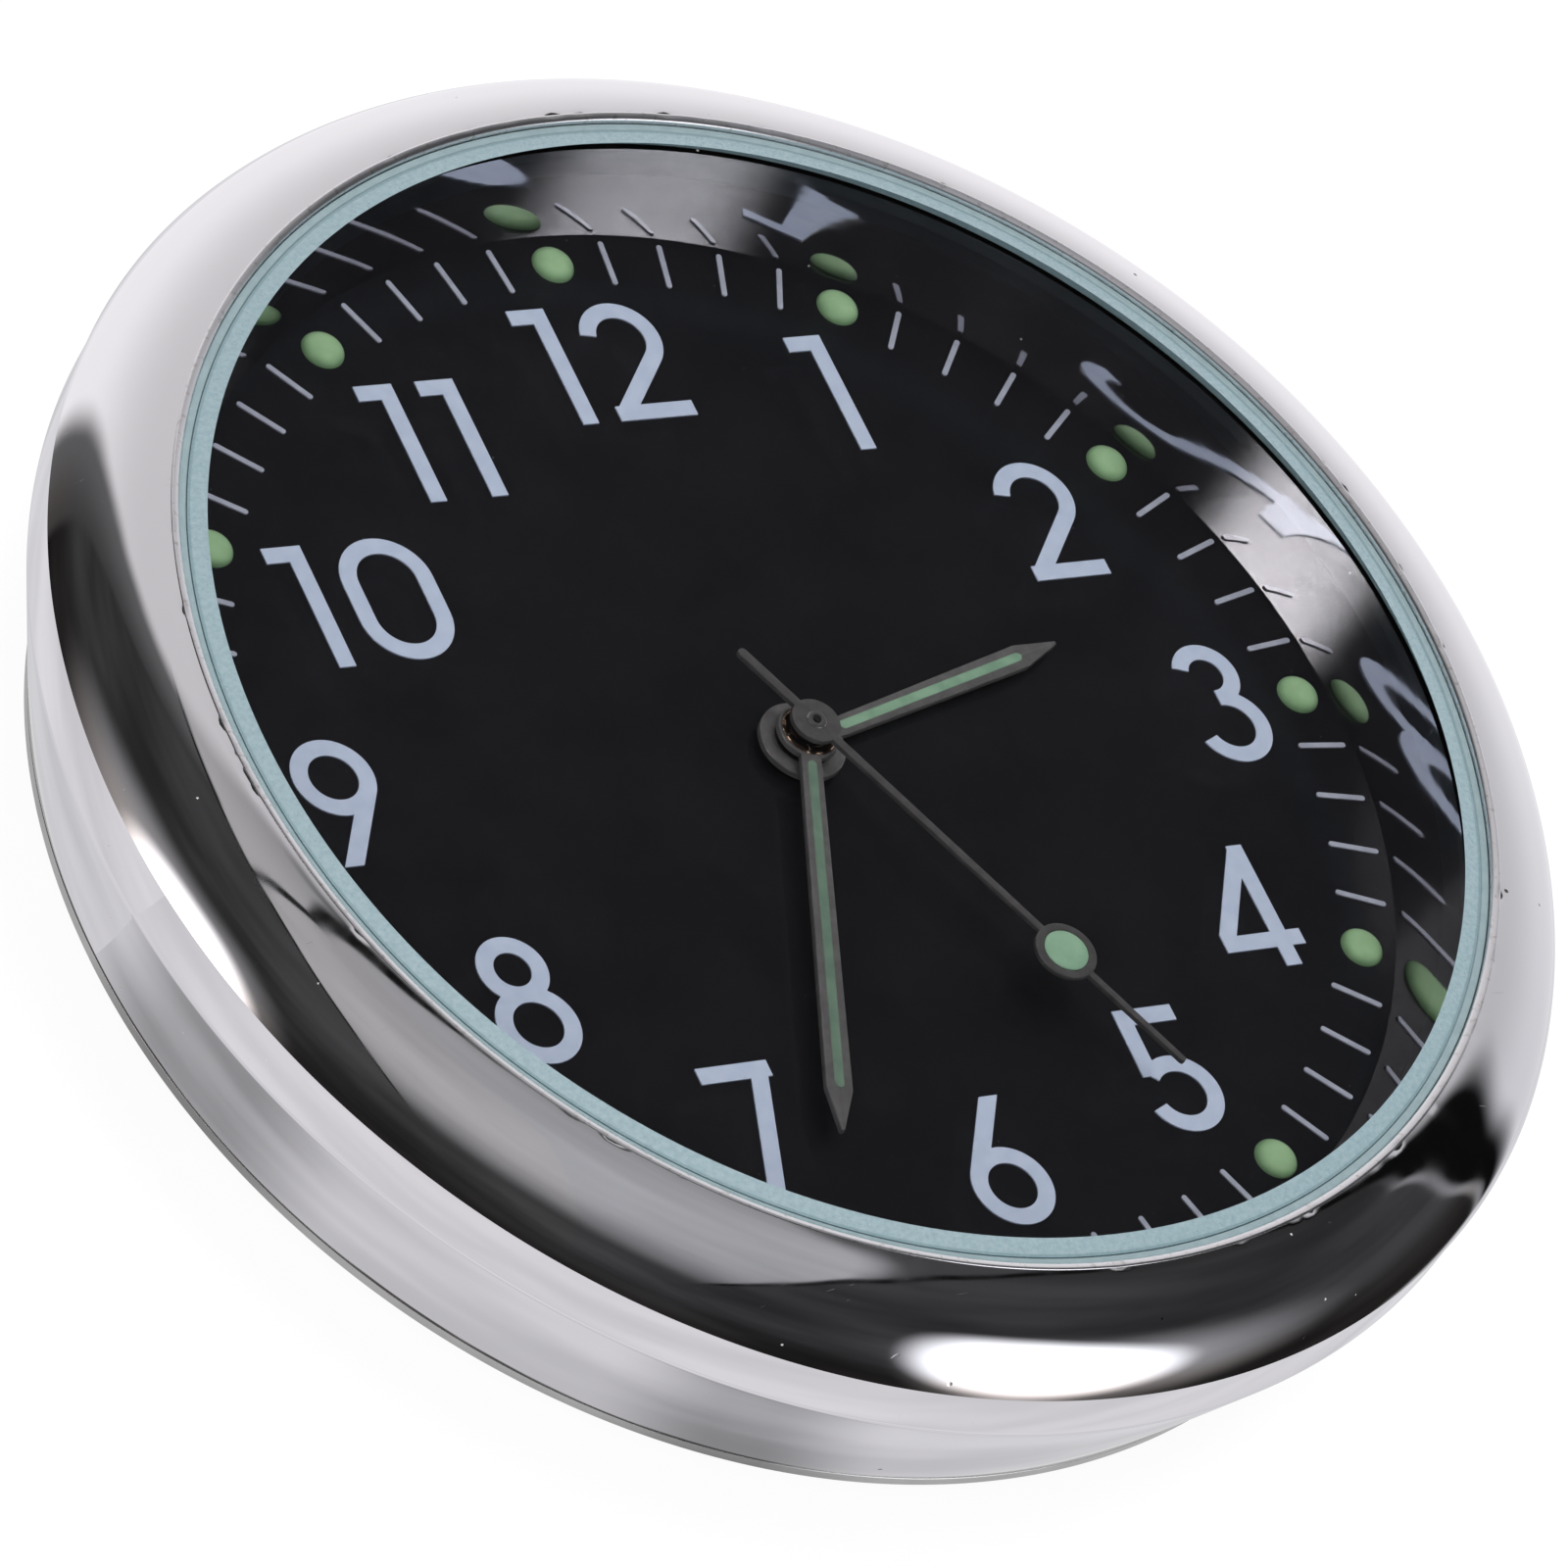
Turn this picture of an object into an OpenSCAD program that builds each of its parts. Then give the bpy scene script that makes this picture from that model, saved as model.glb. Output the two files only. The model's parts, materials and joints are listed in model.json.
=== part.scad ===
// Stick-on dashboard clock, lying on its back, in millimetres.
// The origin is the centre of the foam pad's underside. +Z is the hand axis, out of the face,
// +X points to 3 o'clock and +Y to 12 o'clock.

/* [Mounting pad and back cover] */
// Thickness of the foam pad
pad_t = 1.0; // [0.6:0.1:2]
// Diameter of the foam pad
pad_d = 30; // [24:0.5:34]
// Thickness of the cover's plate
cover_t = 0.3; // [0.2:0.05:0.5]
// Height of the collar that plugs into the case
collar_h = 0.7; // [0.6:0.05:0.9]
// Wall of the collar
collar_w = 0.9; // [0.7:0.05:1.2]
// Section diameter of the seal round the collar
seal_d = 0.4; // [0.3:0.02:0.5]
// Width of the pry notch in the cover's rim
notch_w = 4; // [2:0.5:8]
// Depth of the pry notch, in from the rim
notch_depth = 0.8; // [0.4:0.1:1.2]

/* [Case] */
// Wall of the case at its foot
foot_wall = 1.48; // [1.2:0.02:2]
// Height of the straight band under the bezel
band_h = 1.52; // [0.8:0.02:2]
// How far the band stands in from the bezel's edge
band_inset = 0.03; // [0.02:0.01:0.1]
// Height of the domed bezel
dome_h = 1.91; // [1.6:0.01:2.4]
// Width of the domed bezel, from crest to edge
dome_w = 2.55; // [2.2:0.01:3]
// Radius of the lip between the crest and the glass
lip_r = 0.25; // [0.15:0.01:0.4]
// Outward lean of the polished flange between dial and glass
flange_lean = 0.7; // [0.3:0.05:1]
// Width of the ledge that carries the glass
glass_ledge = 0.25; // [0.2:0.01:0.4]

/* [Glass] */
// Thickness of the glass
glass_t = 1.2; // [0.8:0.05:1.6]
// How far the glass lies below the bezel's crest
glass_recess = 0.09; // [0.02:0.01:0.2]
// Width of the ground bevel round the glass
bevel_w = 0.38; // [0.2:0.01:0.6]
// Depth of the ground bevel
bevel_h = 0.1; // [0.05:0.01:0.3]
// Thickness of the gasket round the glass
gasket_t = 0.18; // [0.12:0.01:0.3]
// Free height between dial and glass
hand_room = 2.66; // [1.8:0.02:3.2]

/* [Dial] */
// Diameter of the dial
dial_d = 33.6; // [32:0.1:40]
// Thickness of the dial
dial_t = 0.4; // [0.3:0.05:0.6]
// Width of the case's ledge over the dial's edge
dial_ledge = 0.55; // [0.3:0.05:0.8]
// Distance from the flange to the centres of the hour dots
dot_margin = 0.85; // [0.8:0.05:1.2]
// Diameter of an hour dot
dot_d = 1.15; // [0.8:0.05:1.4]
// Height of an hour dot
dot_h = 0.24; // [0.1:0.01:0.35]
// Length of a minute mark
mark_l = 1.25; // [0.8:0.05:1.4]
// Width of a minute mark
mark_w = 0.15; // [0.1:0.01:0.25]
// Thickness of the printed marks and numerals
print_t = 0.04; // [0.02:0.01:0.1]
// Height of a numeral
figure_h = 3.68; // [3:0.05:4]
// Stroke width of a numeral
stroke = 0.46; // [0.3:0.02:0.6]
// Distance from the hour dots in to the circle that the numerals touch
figure_margin = 1.2; // [1:0.05:2]
// Space between the two figures of 10, 11 and 12
figure_gap = 0.68; // [0.4:0.02:0.9]

/* [Hands] */
// Time shown at rest: hour hand, in degrees clockwise from 12
hour_angle = 76.5; // [0:0.1:360]
// Time shown at rest: minute hand, in degrees clockwise from 12
minute_angle = 201.6; // [0:0.1:360]
// Time shown at rest: second hand, in degrees clockwise from 12
second_angle = 153.4; // [0:0.1:360]
// Length of the hour hand
hour_l = 8.9; // [6:0.1:12]
// Length of the minute hand
minute_l = 12.2; // [9:0.1:15]
// Length of the second hand
second_l = 12.3; // [10:0.1:15]
// Length of the second hand's tail
tail_l = 2.6; // [1.5:0.1:5]
// Greatest width of the hour and minute hands
hand_w = 0.7; // [0.5:0.02:1]
// Width of the hour and minute hands at the hub
hand_root_w = 0.54; // [0.45:0.02:0.8]
// Length of the pointed end of the hour and minute hands
point_l = 1.25; // [0.8:0.05:2]
// Thickness of the hour and minute hands
hand_t = 0.18; // [0.1:0.01:0.25]
// Thickness of the second hand
second_t = 0.15; // [0.08:0.01:0.2]
// Width of the second hand
second_w = 0.24; // [0.16:0.01:0.4]
// Diameter of the hour hand's hub
hour_hub_d = 2.3; // [2:0.05:3]
// Diameter of the minute hand's hub
minute_hub_d = 1.8; // [1.4:0.05:2.2]
// Diameter of the second hand's hub
second_hub_d = 1.3; // [1:0.05:1.6]
// Distance of the luminous disc from the centre
disc_at = 8.35; // [5:0.05:10]
// Diameter of the luminous disc's ring
disc_d = 1.65; // [1.2:0.05:2]
// Diameter of the luminous disc
disc_lume_d = 1.18; // [0.8:0.02:1.3]
// Width of the luminous strips
strip_w = 0.28; // [0.16:0.01:0.36]
// Clear height from the dial to the hour hand
hour_gap = 0.3; // [0.2:0.01:0.5]
// Clear height between one hand and the next
hand_gap = 0.2; // [0.15:0.01:0.3]

/* [Movement] */
// Width of the main plate, across the stem
plate_w = 17.2; // [16.6:0.1:18]
// Thickness of the main plate's floor
floor_t = 0.4; // [0.3:0.02:0.6]
// Thickness of the train bridge
bridge_t = 0.35; // [0.25:0.01:0.4]
// Room under the main plate for bridge, board and clip
back_room = 0.5; // [0.45:0.01:0.7]
// Free height between the movement and the back cover
cover_gap = 0.2; // [0.15:0.01:0.5]
// Thickness of a wheel
wheel_t = 0.15; // [0.1:0.01:0.2]
// Free height between two train wheels
wheel_gap = 0.235; // [0.2:0.005:0.3]
// Free height between an end wheel and its plate
end_shake = 0.14; // [0.1:0.01:0.2]
// Tooth size (module) of the third wheel
third_mod = 0.08; // [0.07:0.001:0.084]
// Tooth size (module) of the rotor pinion
rotor_mod = 0.075; // [0.07:0.001:0.08]
// Tooth size (module) of the cannon pinion
cannon_mod = 0.1; // [0.09:0.001:0.105]
// Diameter of the rotor magnet
magnet_d = 1.6; // [1.2:0.05:1.8]
// Height of the rotor magnet
magnet_h = 0.5; // [0.4:0.02:0.55]
// Thickness of the stator
stator_t = 0.36; // [0.25:0.01:0.4]
// Width of the stator round the magnet
stator_ring = 0.7; // [0.5:0.05:0.75]
// Diameter of the coil winding
coil_d = 1.5; // [1.2:0.05:1.6]
// Length of the coil core
core_l = 9.6; // [9:0.1:10]
// Thickness of the coil core
core_t = 0.3; // [0.2:0.02:0.4]
// Width of the coil core
core_w = 0.8; // [0.6:0.02:1]
// Diameter of the button cell
cell_d = 6.8; // [5.8:0.1:7.2]
// Height of the button cell
cell_h = 2.6; // [1.6:0.05:2.65]
// Thickness of the circuit board
board_t = 0.2; // [0.1:0.02:0.25]
// Height of the sealed chip on the board
chip_h = 0.28; // [0.1:0.02:0.29]
// Diameter of the quartz can
can_d = 1.5; // [1.2:0.05:1.8]
// Length of the quartz can
can_l = 5; // [4:0.1:6]

/* [Hand setting] */
// Diameter of the stem
stem_d = 0.8; // [0.7:0.02:0.9]
// Width of the stem's square
square_w = 0.54; // [0.46:0.01:0.56]
// Diameter of the stem's pilot
pilot_d = 0.48; // [0.4:0.02:0.5]
// Free height over and under the crown
crown_gap = 0.12; // [0.08:0.01:0.3]
// Length of the crown
crown_l = 1.8; // [1.2:0.1:2.2]
// How far the stem pulls out
pull = 0.6; // [0.4:0.05:0.7]
// Diameter of the clutch pinion
clutch_d = 1.9; // [1.6:0.05:1.95]
// Length of the clutch pinion
clutch_l = 1.1; // [0.8:0.05:1.2]

/* [Clearances] */
// Radial gap of pieces that are set into each other
set_gap = 0.01; // [0.005:0.005:0.02]
// Radial gap of turning and sliding fits
run_gap = 0.04; // [0.02:0.01:0.06]
// Gap round pieces that lie in a pocket
pocket_gap = 0.05; // [0.03:0.01:0.1]
// Radial gap between dial and case
dial_gap = 0.1; // [0.05:0.01:0.2]
// Gap round a wheel in its recess
wheel_room = 0.15; // [0.1:0.01:0.2]

/* [Hidden] */
$fn = 96;
over = 0.1;

// Train layout: tooth counts give 30 : 1 from rotor to second hand, 60 : 1 from second hand to
// minute hand and 12 : 1 from minute hand to hour hand.
rotor_teeth = 8;
inter_teeth = 48;
inter_leaves = 8;
seconds_teeth = 40;
seconds_leaves = 8;
third_teeth = 60;
third_leaves = 8;
centre_teeth = 64;
cannon_leaves = 12;
minute_teeth = 36;
minute_leaves = 10;
hour_teeth = 40;
setting_teeth = 18;
third_dir = 150;
inter_dir = 40;
rotor_dir = 75;
minute_dir = -30;
setting_dir = 20.9;
cell_dir = -105;

// Tooth form, in modules
addendum = 0.8;
dedendum = 1.15;
tooth_slack = 0.12;
root_slope = 0.3;
tip_slope = 0.42;

// Arbors and tubes
arbor_r = 0.12;
pivot_r = 0.08;
pivot_l = 0.25;
second_r = 0.15;
second_tip_r = 0.1;
cannon_r = 0.45;
hour_tube_r = 0.75;
stud_r = 0.25;
pipe_wall = 0.15;
tube_proud = 0.05;
leaf_proud = 0.05;
dial_hole_gap = 0.2;
dial_hole_r = hour_tube_r + dial_hole_gap;
washer_w = 0.9;
washer_t = 0.05;
motion_gap = 0.075;
pipe_room = 0.1;
lume_proud = 0.02;
lume_start = 0.25;

// Heights of the stack, from the pad up
cover_z = pad_t;
case_z = cover_z + cover_t;
movement_z = case_z + cover_gap;
back_z = movement_z + back_room;
train_room = 2 * end_shake + 4 * wheel_t + 3 * wheel_gap;
train_top = back_z + train_room;
recess_z = train_top + floor_t;
motion_room = 2 * wheel_t + washer_t + 4 * motion_gap;
dial_z = recess_z + motion_room;
dial_top = dial_z + dial_t;
glass_z = dial_top + hand_room;
glass_top = glass_z + glass_t;
crest_z = glass_top + glass_recess;
edge_z = crest_z - dome_h;
crease_z = edge_z - band_h;
ring_z = case_z + collar_h + pocket_gap;
hour_z = dial_top + hour_gap;
minute_z = hour_z + hand_t + hand_gap;
second_z = minute_z + hand_t + hand_gap + pipe_room;

// Radii of the case, from the dial out
dial_r = dial_d / 2;
bore_r = dial_r + dial_gap;
foot_r = bore_r + foot_wall;
view_r = dial_r - dial_ledge;
flange_r = view_r + flange_lean;
seat_r = flange_r + glass_ledge;
glass_r = seat_r - gasket_t;
crest_r = seat_r + lip_r;
edge_r = crest_r + dome_w;
band_r = edge_r - band_inset;
dome_r = (dome_w * dome_w + dome_h * dome_h) / (2 * dome_h);
dot_ring_r = view_r - dot_margin;
figure_ring_r = dot_ring_r - figure_margin;

// Places of the train
function polar(r, a) = r * [cos(a), sin(a)];
function pair_distance(a, b, mod) = (a + b) / 2 * mod;
function tip_radius(teeth, mod) = mod * (teeth / 2 + addendum);
third_dist = pair_distance(seconds_leaves, third_teeth, third_mod);
third_at = polar(third_dist, third_dir);
third_tip = tip_radius(third_teeth, third_mod);
centre_mod = 2 * third_dist / (third_leaves + centre_teeth);
centre_tip = tip_radius(centre_teeth, centre_mod);
inter_dist = centre_tip + arbor_r + wheel_room;
inter_at = polar(inter_dist, inter_dir);
inter_mod = 2 * inter_dist / (inter_leaves + seconds_teeth);
rotor_at = inter_at + polar(pair_distance(rotor_teeth, inter_teeth, rotor_mod), rotor_dir);
minute_dist = pair_distance(cannon_leaves, minute_teeth, cannon_mod);
minute_at = polar(minute_dist, minute_dir);
hour_mod = 2 * minute_dist / (minute_leaves + hour_teeth);
setting_at = minute_at + polar(pair_distance(minute_teeth, setting_teeth, cannon_mod), setting_dir);

// Levels of the train wheels, from the bridge up, and of the motion work
function level(n) = back_z + end_shake + (n - 1) * (wheel_t + wheel_gap);
minute_wheel_z = recess_z + motion_gap;
hour_wheel_z = minute_wheel_z + wheel_t + motion_gap;
washer_z = hour_wheel_z + wheel_t + motion_gap;
stator_gap = 0.1;
stator_z = level(2) + wheel_t + stator_gap;
magnet_z = stator_z + stator_t / 2 - magnet_h / 2;

// A tooth angle of wheel b that meshes with wheel a, seen along dir from a to b
function meshed(dir, teeth_a, tooth_a, teeth_b) =
    dir + 180 - (tooth_a - dir) * teeth_a / teeth_b + 180 / teeth_b;
third_pinion_tooth = meshed(third_dir, centre_teeth, third_dir, third_leaves);
third_wheel_tooth = third_dir + 180;
seconds_pinion_tooth = meshed(third_dir + 180, third_teeth, third_wheel_tooth, seconds_leaves);
inter_pinion_tooth = meshed(inter_dir, seconds_teeth, inter_dir, inter_leaves);
rotor_tooth = meshed(rotor_dir, inter_teeth, rotor_dir, rotor_teeth);
minute_wheel_tooth = meshed(minute_dir, cannon_leaves, minute_dir, minute_teeth);
hour_wheel_tooth = meshed(minute_dir + 180, minute_leaves, minute_dir + 180, hour_teeth);
setting_tooth = meshed(setting_dir, minute_teeth, minute_wheel_tooth, setting_teeth);

// Places of the motor, the cell and the board
cell_r = cell_d / 2;
cell_wall = 0.3;
cell_dist = centre_tip + wheel_room + cell_wall + pocket_gap + cell_r;
cell_at = polar(cell_dist, cell_dir);
head_r = 0.65;
head_h = 0.1;
clip_t = 0.1;
clip_w = 1.6;
clip_reach = 1.2;
clip_z = movement_z + head_h;
cell_z = clip_z + clip_t;
plate_rim = 0.45;
plate_r = cell_dist + cell_r + pocket_gap + plate_rim;
magnet_gap = 0.2;
stator_hole_r = magnet_d / 2 + magnet_gap;
stator_r = stator_hole_r + stator_ring;
arm_w = 1.4;
coil_end_gap = 0.1;
coil_l = core_l - 2 * arm_w - 2 * coil_end_gap;
coil_rim = 1.9;
coil_y = plate_r - coil_rim - core_w;
core_z = stator_z + stator_t;
board_margin = 0.2;
board_inset = 0.3;
board_low = cell_at.y + clip_w + board_margin;
board_high = 5.4;
board_x = third_at.x - third_tip - wheel_room - board_margin;
board_edge = plate_w / 2 - board_inset;
chip_r = 1.1;
chip_y = 1.6;
can_inset = 0.4;
can_x = -(board_edge - can_inset - can_d / 2);

// Screws, beside the pockets of the wheels and the cell
screw_r = 0.35;
screw_l = 0.8;
screw_slot = 0.16;
screw_margin = 0.1;
bridge_w = 1.7;
function beside(at, tip, dir) = at + polar(tip + wheel_room + screw_r + screw_margin, dir);
bridge_screws = [
    beside(third_at, third_tip, 245),
    beside(third_at, third_tip, 120),
    beside([0, 0], centre_tip, -30)
];
clip_screws = [cell_at + [-cell_r - clip_reach, clip_w / 2], cell_at + [cell_r + clip_reach, clip_w / 2]];

// Hand setting along +X
stem_z = (back_z + dial_z) / 2;
clutch_x = setting_at.x + tip_radius(setting_teeth, cannon_mod) + wheel_room;
clutch_end = clutch_x + clutch_l;
plate_edge = plate_w / 2;
pilot_l = 1;
crown_room = 1;
crown_d = dial_z - back_z - 2 * crown_gap;
crown_x = plate_edge + crown_room;
crown_notch = crown_d + 2 * crown_room;
foot_pin_r = 0.35;
foot_pin_l = 1.2;
foot_pin_inset = 1.4;
foot_pins = [for (dir = [148, -48]) polar(plate_r - foot_pin_inset, dir)];

// Outline of a toothed wheel with one tooth centred on the angle tooth_at
module gear_outline(teeth, mod, tooth_at) {
    half = 90 / teeth * (1 - tooth_slack);
    root = half + dedendum * root_slope * 2 / teeth * 180 / PI;
    tip = half - addendum * tip_slope * 2 / teeth * 180 / PI;
    root_r = mod * (teeth / 2 - dedendum);
    tip_r = tip_radius(teeth, mod);
    corners = [[-root, root_r], [-tip, tip_r], [tip, tip_r], [root, root_r]];
    polygon([for (i = [0 : teeth - 1], c = corners) polar(c[1], tooth_at + 360 * i / teeth + c[0])]);
}

// Toothed wheel with its underside at z
module gear(z, h, teeth, mod, tooth_at) {
    translate([0, 0, z]) linear_extrude(h) gear_outline(teeth, mod, tooth_at);
}

module rod(z0, z1, r) {
    translate([0, 0, z0]) cylinder(h = z1 - z0, r = r);
}

module tube(z0, z1, outer_r, inner_r) {
    difference() {
        rod(z0, z1, outer_r);
        rod(z0 - over, z1 + over, inner_r);
    }
}

// Wheel, pinion and arbor that turn as one piece between bridge and plate
module train_arbor(pinion_from, pinion_to, leaves, leaf_mod, leaf_at) {
    gear(pinion_from, pinion_to - pinion_from, leaves, leaf_mod, leaf_at);
    rod(back_z + run_gap, train_top - run_gap, arbor_r);
    rod(back_z - pivot_l, train_top + pivot_l, pivot_r);
}

// Disc with a spherical crown, standing on z = 0
module domed_disc(r, h) {
    ball_r = (r * r + h * h) / (2 * h);
    intersection() {
        translate([0, 0, h - ball_r]) sphere(ball_r);
        cylinder(h = h + over, r = r + over);
    }
}

// Straight stroke with square ends
module bar(a, b) {
    d = b - a;
    translate(a)
        rotate(atan2(d.y, d.x))
            translate([0, -stroke / 2])
                square([norm(d), stroke]);
}

// Round stroke whose outer radius is r, from one angle round to another
module bow(centre, r, from, to) {
    steps = 12;
    translate(centre)
        intersection() {
            difference() {
                circle(r);
                circle(r - stroke);
            }
            polygon(concat([[0, 0]], [for (i = [0 : steps]) polar(2 * r, from + (to - from) * i / steps)]));
        }
}

module hoop(centre, r) {
    translate(centre)
        difference() {
            circle(r);
            circle(r - stroke);
        }
}

// Figures, centred on the origin
half_h = figure_h / 2;
line = stroke / 2;
big_r = (figure_h + stroke) * 0.27;
small_r = (figure_h + stroke) / 2 - big_r;
zero_r = figure_h * 0.348;
two_r = figure_h * 0.3125;
one_w = figure_h * 0.3;
seven_w = figure_h * 0.55;
four_w = figure_h * 0.65;
figure_widths = [
    2 * zero_r, one_w, 2 * two_r, 2 * big_r, four_w, 2 * big_r, 2 * big_r, seven_w, 2 * big_r, 2 * big_r
];

module figure_0() {
    for (s = [-1, 1]) {
        bow([0, s * (half_h - zero_r)], zero_r, s * 90 - 90, s * 90 + 90);
        bar([s * (zero_r - line), zero_r - half_h], [s * (zero_r - line), half_h - zero_r]);
    }
}

module figure_1() {
    bar([one_w / 2 - line, -half_h], [one_w / 2 - line, half_h]);
    bar([-one_w / 2, half_h - line], [one_w / 2 - line, half_h - line]);
}

module figure_2() {
    turn = -45;
    top = [0, half_h - two_r];
    bow(top, two_r, 168, turn);
    intersection() {
        translate([-two_r, -half_h]) square([2 * two_r, figure_h]);
        bar(top + polar(two_r - line, turn), [-two_r + line / 2, -half_h + line / 2]);
    }
    bar([-two_r, -half_h + line], [two_r * 0.98, -half_h + line]);
}

module figure_3() {
    bow([0, half_h - small_r], small_r, 160, -90);
    bow([0, big_r - half_h], big_r, 90, -160);
}

module figure_4() {
    post_x = four_w * 0.23;
    cross_y = -figure_h * 0.28;
    bar([post_x, -half_h], [post_x, half_h]);
    bar([-four_w / 2, cross_y], [four_w / 2, cross_y]);
    intersection() {
        translate([-four_w / 2, cross_y - line]) square([post_x + four_w / 2, half_h - cross_y + line]);
        bar([-four_w / 2, cross_y - line / 2], [post_x + line, half_h + line]);
    }
}

module figure_5() {
    start = 138;
    bowl = [0, big_r - half_h];
    corner = [-figure_h * 0.17, half_h];
    bow(bowl, big_r, start, -160);
    intersection() {
        translate([-big_r, -half_h]) square([2 * big_r, figure_h]);
        bar(bowl + polar(big_r - line, start), corner);
    }
    bar([corner.x - line, half_h - line], [figure_h * 0.24, half_h - line]);
}

module figure_6() {
    turn = 145;
    bowl = [0, big_r - half_h];
    hoop(bowl, big_r);
    intersection() {
        translate([-big_r, -half_h]) square([2 * big_r, figure_h]);
        bar(bowl + polar(big_r - line, turn), [figure_h * 0.165, half_h + line / 2]);
    }
}

module figure_7() {
    bar([-seven_w / 2, half_h - line], [seven_w / 2, half_h - line]);
    intersection() {
        translate([-seven_w / 2, -half_h]) square([seven_w, figure_h]);
        bar([seven_w / 2 - line, half_h], [-figure_h * 0.13, -half_h - line]);
    }
}

module figure_8() {
    hoop([0, half_h - small_r], small_r);
    hoop([0, big_r - half_h], big_r);
}

module figure(n) {
    if (n == 0) figure_0();
    if (n == 1) figure_1();
    if (n == 2) figure_2();
    if (n == 3) figure_3();
    if (n == 4) figure_4();
    if (n == 5) figure_5();
    if (n == 6) figure_6();
    if (n == 7) figure_7();
    if (n == 8) figure_8();
    if (n == 9) rotate(180) figure_6();
}

// Width of an hour's numeral, of one figure or two
function numeral_width(hour) = hour < 10
    ? figure_widths[hour]
    : one_w + figure_gap + figure_widths[hour - 10];

// Distance from the centre at which a numeral's box touches the numeral circle, in a direction
// with cosine c and sine s
function numeral_distance(c, s, w) =
    let (
        b = abs(c) * w / 2 + abs(s) * half_h,
        e = w * w / 4 + half_h * half_h - figure_ring_r * figure_ring_r
    )
    sqrt(b * b - e) - b;

module numeral(hour) {
    w = numeral_width(hour);
    if (hour < 10) figure(hour);
    if (hour >= 10) {
        translate([(one_w - w) / 2, 0]) figure(1);
        translate([(w - figure_widths[hour - 10]) / 2, 0]) figure(hour - 10);
    }
}

// Movement outline: a disc with two flats
module plate_outline(gap) {
    intersection() {
        circle(plate_r + gap);
        square([plate_w + 2 * gap, 2 * plate_r + 2 * over], center = true);
    }
}

// Flat strip between two points
module strip(a, b, w) {
    d = b - a;
    translate(a)
        rotate(atan2(d.y, d.x))
            translate([0, -w / 2])
                square([norm(d), w]);
}

// Stator outline: a ring round the magnet and two bent arms to the ends of the coil core
module stator_outline(gap) {
    translate(rotor_at) circle(stator_r + gap);
    for (s = [-1, 1]) {
        heel = rotor_at + [s * (stator_r - arm_w / 2), stator_r * 0.6];
        toe = [s * (core_l - arm_w) / 2, coil_y];
        elbow = [toe.x, coil_y - coil_d / 2 - coil_end_gap - arm_w / 2];
        strip(rotor_at, heel, arm_w + 2 * gap);
        strip(heel, elbow, arm_w + 2 * gap);
        strip(elbow, toe, arm_w + 2 * gap);
        for (p = [heel, elbow, toe]) translate(p) circle(arm_w / 2 + gap);
    }
}

// Bridge outline: arms that join the pivots and the screws
module bridge_outline() {
    arms = [
        [[0, 0], third_at],
        [[0, 0], inter_at],
        [inter_at, rotor_at],
        [third_at, bridge_screws[0]],
        [third_at, bridge_screws[1]],
        [[0, 0], bridge_screws[2]]
    ];
    for (arm = arms) {
        strip(arm[0], arm[1], bridge_w);
        for (end = arm) translate(end) circle(bridge_w / 2);
    }
}

// Hour or minute hand pointing along +X, with its slot for the luminous strip
module baton(length, hub_d, bore_r, z) {
    translate([0, 0, z])
        linear_extrude(hand_t)
            difference() {
                union() {
                    circle(hub_d / 2);
                    polygon([
                        [0, -hand_root_w / 2],
                        [length - point_l, -hand_w / 2],
                        [length, 0],
                        [length - point_l, hand_w / 2],
                        [0, hand_root_w / 2]
                    ]);
                }
                circle(bore_r);
                baton_strip(length, hub_d, set_gap);
            }
}

// Outline of the luminous strip in an hour or minute hand
module baton_strip(length, hub_d, gap) {
    start = hub_d / 2 + lume_start;
    translate([start - gap, -strip_w / 2 - gap])
        square([length - point_l - start + 2 * gap, strip_w + 2 * gap]);
}

module clock_turn(angle) {
    rotate(90 - angle) children();
}

module adhesive_pad() {
    color("#3a3a3c") cylinder(h = pad_t, r = pad_d / 2);
}

module back_cover() {
    collar_out = bore_r - run_gap;
    groove = seal_d + 2 * set_gap;
    color("#c9c9c6") difference() {
        union() {
            rod(cover_z, case_z, foot_r);
            tube(case_z - cover_t / 2, case_z + collar_h, collar_out, collar_out - collar_w);
        }
        tube(
            case_z + (collar_h - groove) / 2, case_z + (collar_h + groove) / 2,
            collar_out + over, bore_r - seal_d - 2 * set_gap
        );
        rotate(60) translate([foot_r - notch_depth, -notch_w / 2, cover_z - over])
            cube([notch_depth + over, notch_w, cover_t / 2 + over]);
    }
}

module cover_seal() {
    color("#202020") translate([0, 0, case_z + collar_h / 2])
        rotate_extrude() translate([bore_r - set_gap - seal_d / 2, 0]) circle(seal_d / 2);
}

module case() {
    color("#d9d9d7") rotate_extrude($fn = 180) {
        polygon([
            [bore_r, case_z],
            [foot_r, case_z],
            [band_r, crease_z],
            [band_r, edge_z],
            [edge_r, edge_z],
            [crest_r, crest_z],
            [seat_r, crest_z - lip_r],
            [seat_r, glass_z],
            [flange_r, glass_z],
            [view_r, dial_top],
            [bore_r, dial_top]
        ]);
        intersection() {
            translate([crest_r, crest_z - dome_r]) circle(dome_r);
            translate([crest_r, edge_z]) square([dome_w + dome_r, dome_h]);
        }
        intersection() {
            translate([crest_r, crest_z - lip_r]) circle(lip_r);
            translate([seat_r, crest_z - lip_r]) square(lip_r);
        }
    }
}

module crystal() {
    color("#bcd6d4", 0.35) rotate_extrude($fn = 180) polygon([
        [0, glass_z],
        [glass_r, glass_z],
        [glass_r, glass_top - bevel_h],
        [glass_r - bevel_w, glass_top],
        [0, glass_top]
    ]);
}

module crystal_gasket() {
    color("#8fb0b0") tube(glass_z, glass_top - bevel_h, seat_r - set_gap, glass_r + set_gap, $fn = 180);
}

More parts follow.
